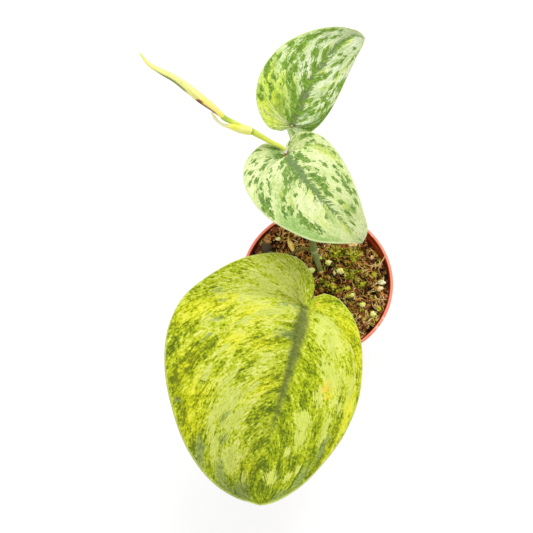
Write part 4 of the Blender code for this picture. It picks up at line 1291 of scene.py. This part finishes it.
def blade(name, slot, leaf, marks, rows, columns, looks):
    """A leaf blade: a grid laid along the veins, given relief and marks, bent to its pose and thickened."""
    piece, column, share = grid_piece(name, 2 * columns, rows)
    mesh = piece.data
    across = abs(2 * column - 1)
    half = np.where(column > 0.5 + 1e-6, 1, -1)
    flat, reach = flat_blade(leaf, share, across, half)
    x, y = flat.T
    vein = vein_number(leaf, share, across, half)
    rib = smooth_curve(leaf["midrib"])(np.linspace(0, 1, 120))
    from_rib = np.hypot(x[:, None] - rib[:, 0], y[:, None] - rib[:, 1]).min(axis=1)
    from_edge = (1 - across) * reach

    swell = each_vertex(lambda at: noise.noise(at / 13), np.stack((x, y, 0 * x), 1))
    pucker = each_vertex(noise.noise, np.stack((across * reach / 7, vein * 22, half), 1))
    inside = smoothstep(0, 4, from_edge) * smoothstep(0, 2, from_rib)
    quilt = np.cos(vein * math.tau * leaf["side_veins"])
    relief = SWELL * swell * smoothstep(0, 8, from_rib) + (PUCKER * pucker + QUILT * quilt) * inside
    relief -= RIB_GROOVE * bell(from_rib, 0, 1.1)
    place = bend_leaf(leaf, x, y, relief + RAISED)
    mesh.vertices.foreach_set("co", (place * MM).ravel())

    grid = (x, y, share, across, half)
    unrolled = np.stack((x, y, vein * leaf["length"] / (1 - FAN_SHARE)), 1)
    noise.seed_set(leaf["seed"])
    wander = leaf["wander"] * each_vertex(noise.noise_vector, unrolled * leaf["wander_scale"])
    for mark, places in marks.items():
        spots = mark.endswith("spots")
        field = spot_field(x, y, places) if spots else streak_field(leaf, grid, places, wander)
        set_attribute(mesh, mark, field)
    set_attribute(mesh, "from_rib", from_rib)
    set_attribute(mesh, "rib", np.interp(y, *zip(*leaf["rib"])) - from_rib)
    set_attribute(mesh, "crepe", leaf["crepe"] * smoothstep(-1, 4, x) + (1 - leaf["crepe"]) * 0.5)
    set_attribute(mesh, "from_edge", from_edge)
    set_vector(mesh, "flat", unrolled)

    thickness = piece.vertex_groups.new(name="thickness")
    stiff = 0.28 + 0.14 * smoothstep(0, 6, from_edge) + 0.58 * bell(from_rib, 0, 1.2)
    for i, weight in enumerate(stiff):
        thickness.add((i,), float(min(weight, 1.0)), "REPLACE")
    close_up(piece, 0.004)
    if sum(face.normal.z for face in mesh.polygons) < 0:
        mesh.flip_normals()
    for look in looks:
        mesh.materials.append(look)
    thicken(piece, RIB_THICKNESS, offset=-1, vertex_group="thickness", material_offset=1)
    fit_piece(piece, slot, name + "_blade")


def along_veins(look, length, width):
    """Coordinates for a pattern whose marks on a blade are about this long and wide, in millimetres."""
    return stretched(look, attribute(look, "flat", "Vector"), (1 / length, 1 / length, 1 / width))


def leaf_top(name, ground, patch, warm, grey, rib, edge, mottle, streak_size, block_size, jags, spread,
             rib_edge, creased):
    """The marbled upper side. Its ground and its crisp patches are each a fine mosaic of tones, as strong
    as mottle says, and every edge and streak is drawn out along the veins."""
    look = new_look(name)
    cloud = grain(look, along_veins(look, *(3 * size for size in streak_size)), 1.0, 2.0, 0.5)
    streak = grain(look, along_veins(look, *streak_size), 1.0, 2.0, 0.6)
    thread = grain(look, along_veins(look, *(0.4 * size for size in streak_size)), 1.0, 2.0, 0.6)
    mosaic = grain(look, place_on(look), 950.0, 2.0, 0.7)
    cell = node(look, "TexVoronoi", {"Vector": along_veins(look, *block_size), "Scale": 1.0}).outputs
    cell = node(look, "SeparateColor", {"Color": cell["Color"]}).outputs["Red"]
    fleck = total(look, 0.5, (mosaic, 1.7), (thread, 1.5), (cell, 0.2))
    jag = total(look, 0.5, *zip((streak, thread, cell), jags))

    def marked(mark, low, high):
        return fade(look, plus(look, attribute(look, mark), jag), low, high)

    tone = total(look, 0.5, (cloud, 0.9), (streak, 1.0), (fleck, mottle[0]))
    # Painted light and shade: the crease term lightens and darkens the tone along the crepe's wrinkles.
    crease = grain(look, along_veins(look, 5.5, 1.0), 1.0, 4.0, 0.65)
    crease = plus(look, -creased / 2, crease, creased)
    tone = plus(look, tone, times(look, crease, attribute(look, "crepe")))
    tone = plus(look, tone, marked("light", 0.6, 1.2), 0.24)
    tone = plus(look, tone, marked("deep", 0.6, 1.4), -0.32)

    # The darker band along the midrib is partly its own darker green and partly painted shade in its groove.
    teeth, soft = rib_edge
    ribbed = plus(look, attribute(look, "rib"), jag, teeth)
    ribbed = fade(look, ribbed, teeth / 2 - soft, teeth / 2 + soft)
    line = fade(look, math_node(look, "ABSOLUTE", math_node(look, "SUBTRACT", streak, 0.5)), 0.03, 0.0)
    patched = plus(look, plus(look, attribute(look, "patch"), jag), plus(look, spread, line, 0.22))
    own = total(look, 0.5, (streak, 0.8), (fleck, mottle[1]))
    color = layered(
        look, ramp(look, tone, *ground),
        (times(look, attribute(look, "warm"), 0.9), ramp(look, tone, *warm)),
        (times(look, marked("grey", 0.7, 1.4), 0.75), blend(look, fleck, *grey)),
        (times(look, ribbed, 0.92), blend(look, fleck, *rib)),
        (fade(look, patched, 0.96, 1.03), ramp(look, own, *patch)),
        (fade(look, attribute(look, "amber_spots"), 0.2, 1.3), (255, 216, 80)),
        (fade(look, attribute(look, "brown_spots"), 0.4, 0.8), (122, 82, 44)),
        # Painted highlight: the pale line along the margin stands for light catching the blade's rim.
        (times(look, fade(look, attribute(look, "from_edge"), 0.9, 0.3), 0.85), edge))
    rough = node(look, "MapRange", {"Value": mosaic, "To Min": 0.36, "To Max": 0.60}).outputs["Result"]
    crepe = grain(look, along_veins(look, 2.4, 0.8), 1.0, 3.0, 0.6)
    crepe = times(look, crepe, attribute(look, "crepe"))
    return finish_look(look, color, rough, (mosaic, 0.10), (thread, 0.12), (crepe, 1.0), shine=0.22)


def leaf_under(name, color, rib):
    """The duller underside, with its raised pale midrib and fine veins."""
    look = new_look(name)
    streak = grain(look, along_veins(look, 6, 0.8), 1.0, 2.0)
    ribbed = fade(look, attribute(look, "from_rib"), 2.2, 0.7)
    color = layered(look, color, (fade(look, streak, 0.35, 0.65), [0.88 * value for value in color]),
                    (ribbed, rib))
    return finish_look(look, color, 0.6, (streak, 0.1), shine=0.25)


# The large blade's palest ground tone is partly painted highlight: whitish flecks for glints on its crepe.
large_top = leaf_top(
    "large_leaf_top",
    ground=((0.04, (92, 112, 0)), (0.26, (142, 160, 0)), (0.5, (186, 202, 16)), (0.68, (212, 224, 58)),
            (0.92, (234, 240, 128))),
    patch=((0.1, (192, 206, 68)), (0.5, (216, 227, 98)), (0.9, (238, 243, 142))),
    warm=((0.04, (130, 140, 0)), (0.26, (178, 186, 2)), (0.5, (218, 224, 8)), (0.75, (244, 242, 54))),
    grey=((118, 140, 62), (176, 194, 112)), rib=((82, 96, 34), (124, 134, 62)), edge=(222, 234, 120),
    mottle=(0.8, 0.5), streak_size=(4.6, 1.7), block_size=(1.9, 0.9), jags=(0.6, 0.55, 0.35),
    spread=-0.02, rib_edge=(1.8, 1.7), creased=1.3,
)
blade("large_leaf", "large_leaf", LARGE_LEAF, LARGE_MARKS, 170, 50,
      [large_top, leaf_under("large_leaf_underside", (168, 190, 92), (196, 208, 130))])
middle_top = leaf_top(
    "middle_leaf_top", ground=((0.1, (168, 196, 112)), (0.4, (214, 230, 152)), (0.9, (240, 246, 188))),
    patch=((0.1, (70, 102, 34)), (0.5, (108, 144, 58)), (0.9, (154, 188, 86))),
    warm=((0.1, (150, 176, 50)), (0.5, (196, 216, 84)), (0.9, (220, 234, 118))),
    grey=((122, 172, 76), (164, 204, 112)), rib=((84, 114, 60), (116, 146, 82)), edge=(224, 238, 170),
    mottle=(0.5, 0.7), streak_size=(3.0, 1.3), block_size=(1.4, 0.8), jags=(1.7, 1.2, 0.5),
    spread=0.03, rib_edge=(3.0, 0.3), creased=0.0,
)
blade("middle_leaf", "young_leaf", MIDDLE_LEAF, MIDDLE_MARKS, 150, 44,
      [middle_top, leaf_under("middle_leaf_underside", (176, 204, 132), (202, 220, 160))])
upper_top = leaf_top(
    "upper_leaf_top", ground=((0.1, (168, 198, 120)), (0.4, (210, 229, 164)), (0.9, (242, 248, 214))),
    patch=((0.1, (74, 110, 18)), (0.5, (110, 148, 36)), (0.9, (150, 184, 72))),
    warm=((0.1, (144, 170, 0)), (0.5, (206, 228, 26)), (0.9, (234, 246, 84))),
    grey=((104, 138, 76), (156, 186, 118)), rib=((76, 100, 36), (108, 134, 60)), edge=(206, 226, 130),
    mottle=(0.5, 0.7), streak_size=(3.8, 1.6), block_size=(1.6, 0.9), jags=(1.8, 1.0, 0.5),
    spread=0.12, rib_edge=(3.0, 0.5), creased=0.0,
)
blade("upper_leaf", "young_leaf", UPPER_LEAF, UPPER_MARKS, 150, 44,
      [upper_top, leaf_under("upper_leaf_underside", (172, 200, 124), (200, 218, 156))])


# Shoot. The growing tip of the stem: two slender joints of lime-yellow stem, the second half wrapped in a
# split yellow sheath, and at the end the next leaf, still rolled into a pale spear with a hooked point.
LOWER_JOINT_ROUTE = [
    (-14.4, 34.3, 117.9, 1.1), (-14.6, 34.6, 119.2, 1.05), (-15.2, 34.3, 124, 0.85),
    (-15.9, 33.9, 128.6, 0.72), (-17.4, 34.3, 130.6, 0.78), (-20.8, 34.9, 133, 0.9),
    (-23.9, 35.5, 135.6, 1.0), (-27, 36.1, 138.3, 1.15), (-28.7, 36.4, 139.8, 1.2),
    (-29.6, 36.5, 140.5, 1.1),
]
UPPER_JOINT_ROUTE = [
    (-29.2, 36.4, 140.1, 0.9), (-29.5, 36.5, 140.4, 0.9), (-32.6, 36.8, 143.2, 0.9),
    (-35.8, 37.1, 146.3, 0.95), (-38.6, 37.4, 148.8, 1.0), (-39.5, 37.8, 149.5, 0.95),
]
SPEAR_ROUTE = [
    (-39.1, 37.65, 149.25, 0.9), (-42.6, 39.8, 151.8, 1.3), (-46.4, 41.8, 154.2, 1.6),
    (-50.8, 44.3, 157, 1.6), (-56, 46.9, 160.4, 1.3), (-60.8, 48, 163.9, 1.0), (-64.6, 49, 167.2, 0.65),
    (-67.2, 51.1, 170.8, 0.22),
]
# Each row is (x, y, z, arc radius, half angle in degrees, turn in degrees).
SHEATH_ROUTE = [
    (-29.7, 36.5, 140.5, 1.6, 100, 115), (-32.9, 36.2, 143.1, 1.85, 100, 108),
    (-36, 36.4, 145.4, 1.7, 76, 94), (-39.2, 36.9, 145.9, 1.15, 60, 90), (-41, 37.7, 146.6, 0.95, 62, 116),
    (-42.3, 38.6, 147.8, 0.85, 62, 118), (-43.2, 39.8, 149.4, 0.5, 60, 120),
]
SHEATH_WALL = 0.3


def rolled_leaf(along, turn):
    """Stands the skin of the spear proud as a roll does: it rises round the turn and drops at its edge."""
    edge = 2.75 - 0.045 * along
    wrap = ((turn - edge) % math.tau) / math.tau
    return 0.22 * wrap - 0.1 + 0.05 * np.cos(turn * 2)


def spear_look():
    """Pale yellow, with painted olive shade where it faces down towards the tip, and a brown healed scar low
    on one side.
    """
    look = new_look("spear_skin")
    skin = attribute(look, "skin", "Vector")
    streak = grain(look, stretched(look, skin, (1.6, 1.6, 0.12)), 1.0, 3.0, 0.6)
    fine = grain(look, stretched(look, skin, (5, 5, 1.4)), 1.0, 2.0, 0.6)
    share = attribute(look, "share")
    blush = blend(look, fade(look, streak, 0.4, 0.7), (250, 232, 128), (255, 236, 158))
    # Painted shade on the side that faces down.
    under = plus(look, attribute(look, "underside_shade"), fine, 0.5)
    scar = plus(look, attribute(look, "scar"), fine, 0.5)
    color = layered(
        look, (244, 244, 132), (fade(look, streak, 0.35, 0.65), (252, 249, 168)),
        (fade(look, share, 0.5, 0.15), blush), (fade(look, share, 0.10, 0.0), (238, 236, 88)),
        (fade(look, under, 0.4, 1.1), (138, 150, 58)), (fade(look, scar, 0.62, 0.9), (204, 146, 40)),
        (fade(look, scar, 0.86, 1.1), (96, 50, 6)),
        (fade(look, attribute(look, "dot"), 0.4, 0.8), (244, 150, 60)))
    return finish_look(look, color, 0.38, (fine, 0.03), (streak, 0.08), soft=0.5, sinks=(1.0, 0.95, 0.4))


def make_spear():
    spear = stalk("furled_leaf", "new_growth", "furled_new_leaf", SPEAR_ROUTE, spear_look(), (0, 0, 1),
                  rows=220, sides=48, shape=rolled_leaf)
    mesh = spear.data
    share, skin = np.empty(len(mesh.vertices)), np.empty(3 * len(mesh.vertices))
    mesh.attributes["share"].data.foreach_get("value", share)
    mesh.attributes["skin"].data.foreach_get("vector", skin)
    turn = np.degrees(np.arctan2(skin[1::3], skin[0::3])) % 360
    # Painted shade: olive on the side that faces down, from the middle towards the tip.
    underside_shade = smoothstep(0.34, 0.5, share) * (1 - smoothstep(0.6, 0.94, share))
    set_attribute(mesh, "underside_shade", underside_shade * bell(turn, 178, 42))
    blotch = 0.85 * bell(turn, 156, 42) * bell(share, 0.275, 0.055)
    line = smoothstep(0.0, 0.1, share) * (1 - smoothstep(0.3, 0.34, share))
    set_attribute(mesh, "scar", np.maximum(blotch, line * bell(turn, 172, 25)))
    set_attribute(mesh, "dot", bell(turn, 96, 12) * bell(share, 0.52, 0.008))


def sheath_look():
    """Satin yellow with fine veins, flushed pink along its first half and paler on its free flap, with a
    painted glow of deep yellow along its lower side, for light shining through it.
    """
    look = new_look("sheath_skin")
    vein = grain(look, attribute(look, "skin", "Vector"), 1.0, 3.0, 0.6)
    cloud = grain(look, place_on(look), 380.0, 2.0)
    pink = times(look, attribute(look, "blush"), fade(look, cloud, 0.3, 0.55))
    rim = times(look, fade(look, attribute(look, "from_side"), 0.06, 0.0), 0.5)
    # Painted light: the lower side is painted deep yellow as a glow of light shining through it.
    color = layered(
        look, (255, 254, 96), (fade(look, cloud, 0.3, 0.7), (255, 255, 168)),
        (attribute(look, "low"), (255, 250, 20)), (pink, (255, 240, 206)),
        (fade(look, attribute(look, "share"), 0.46, 0.62), (255, 252, 196)),
        (fade(look, vein, 0.58, 0.75), (244, 240, 92)), (rim, (238, 226, 110)))
    return finish_look(look, color, 0.5, (vein, 0.08))


def make_sheath():
    """A strip of grid laid part way round its route, narrowing to a rippled flap that stands off the stem."""
    sheath, across, share = grid_piece("split_sheath", 40, 120)
    mesh = sheath.data
    route = np.array(SHEATH_ROUTE)
    here, radius, _, side, upward = line_frame(route[:, :4], share, (0, 0, 1))
    half_angle, turn = smooth_curve(route[:, [0, 1, 2, 4, 5]])(share)[:, 3:].T
    angle = np.radians(turn + half_angle * (2 * across - 1))
    curl = 0.10 * np.sin(share * 21) * smoothstep(0.3, 0.6, share) * (2 * across - 1) ** 2
    ripple = each_vertex(noise.noise, np.stack((across * 3, share * 9, 0 * share), 1))
    reach = radius * (1 + curl) + 0.07 * ripple
    place = here - (side * np.sin(angle)[:, None] + upward * np.cos(angle)[:, None]) * reach[:, None]
    mesh.vertices.foreach_set("co", (place * MM).ravel())
    blush = 0.6 * bell(across, 0.36, 0.16) * smoothstep(0.06, 0.16, share)
    # Painted light: where the glow through the lower side is painted, strongest at its bottom edge.
    low = 0.85 * bell(across, 0, 0.24)
    set_attribute(mesh, "share", share)
    set_attribute(mesh, "from_side", np.minimum(across, 1 - across))
    set_attribute(mesh, "blush", blush * (1 - smoothstep(0.3, 0.5, share)))
    set_attribute(mesh, "low", low * (1 - smoothstep(0.45, 0.6, share)))
    set_vector(mesh, "skin", np.stack((across * 14, share * 1.5, 0 * share), 1))
    close_up(sheath)
    thicken(sheath, SHEATH_WALL, offset=0.0)
    fit_piece(sheath, "new_growth", "shoot_sheath", look=sheath_look())


def make_shoot():
    lime = stalk_look("shoot_skin", (208, 220, 70), (234, 241, 108),
                      ((0.0, (186, 196, 76)), (0.4, (236, 240, 108)), (0.7, (224, 232, 92)),
                       (0.945, (206, 224, 76)), (0.972, (104, 148, 14)), (1.0, (84, 128, 8))),
                      (240, 242, 140), soft=0.15)
    stalk("lower_joint", "stem", "shoot_lower_internode", LOWER_JOINT_ROUTE, lime, (0, 0, 1), rows=180,
          shape=joint_rings((28.6, 0.35, 0.12), (1.4, 0.8, 0.1)))
    green = stalk_look("shoot_green_skin", (222, 236, 88), (240, 250, 124),
                       ((0.0, (242, 248, 120)), (0.62, (226, 244, 84)), (0.82, (150, 196, 16)),
                        (1.0, (70, 132, 0))), (222, 234, 116), soft=0.15)
    stalk("upper_joint", "stem", "shoot_upper_internode", UPPER_JOINT_ROUTE, green, (0, 0, 1),
          shape=joint_rings((13.4, 0.4, 0.1)))
    make_sheath()
    make_spear()


make_shoot()
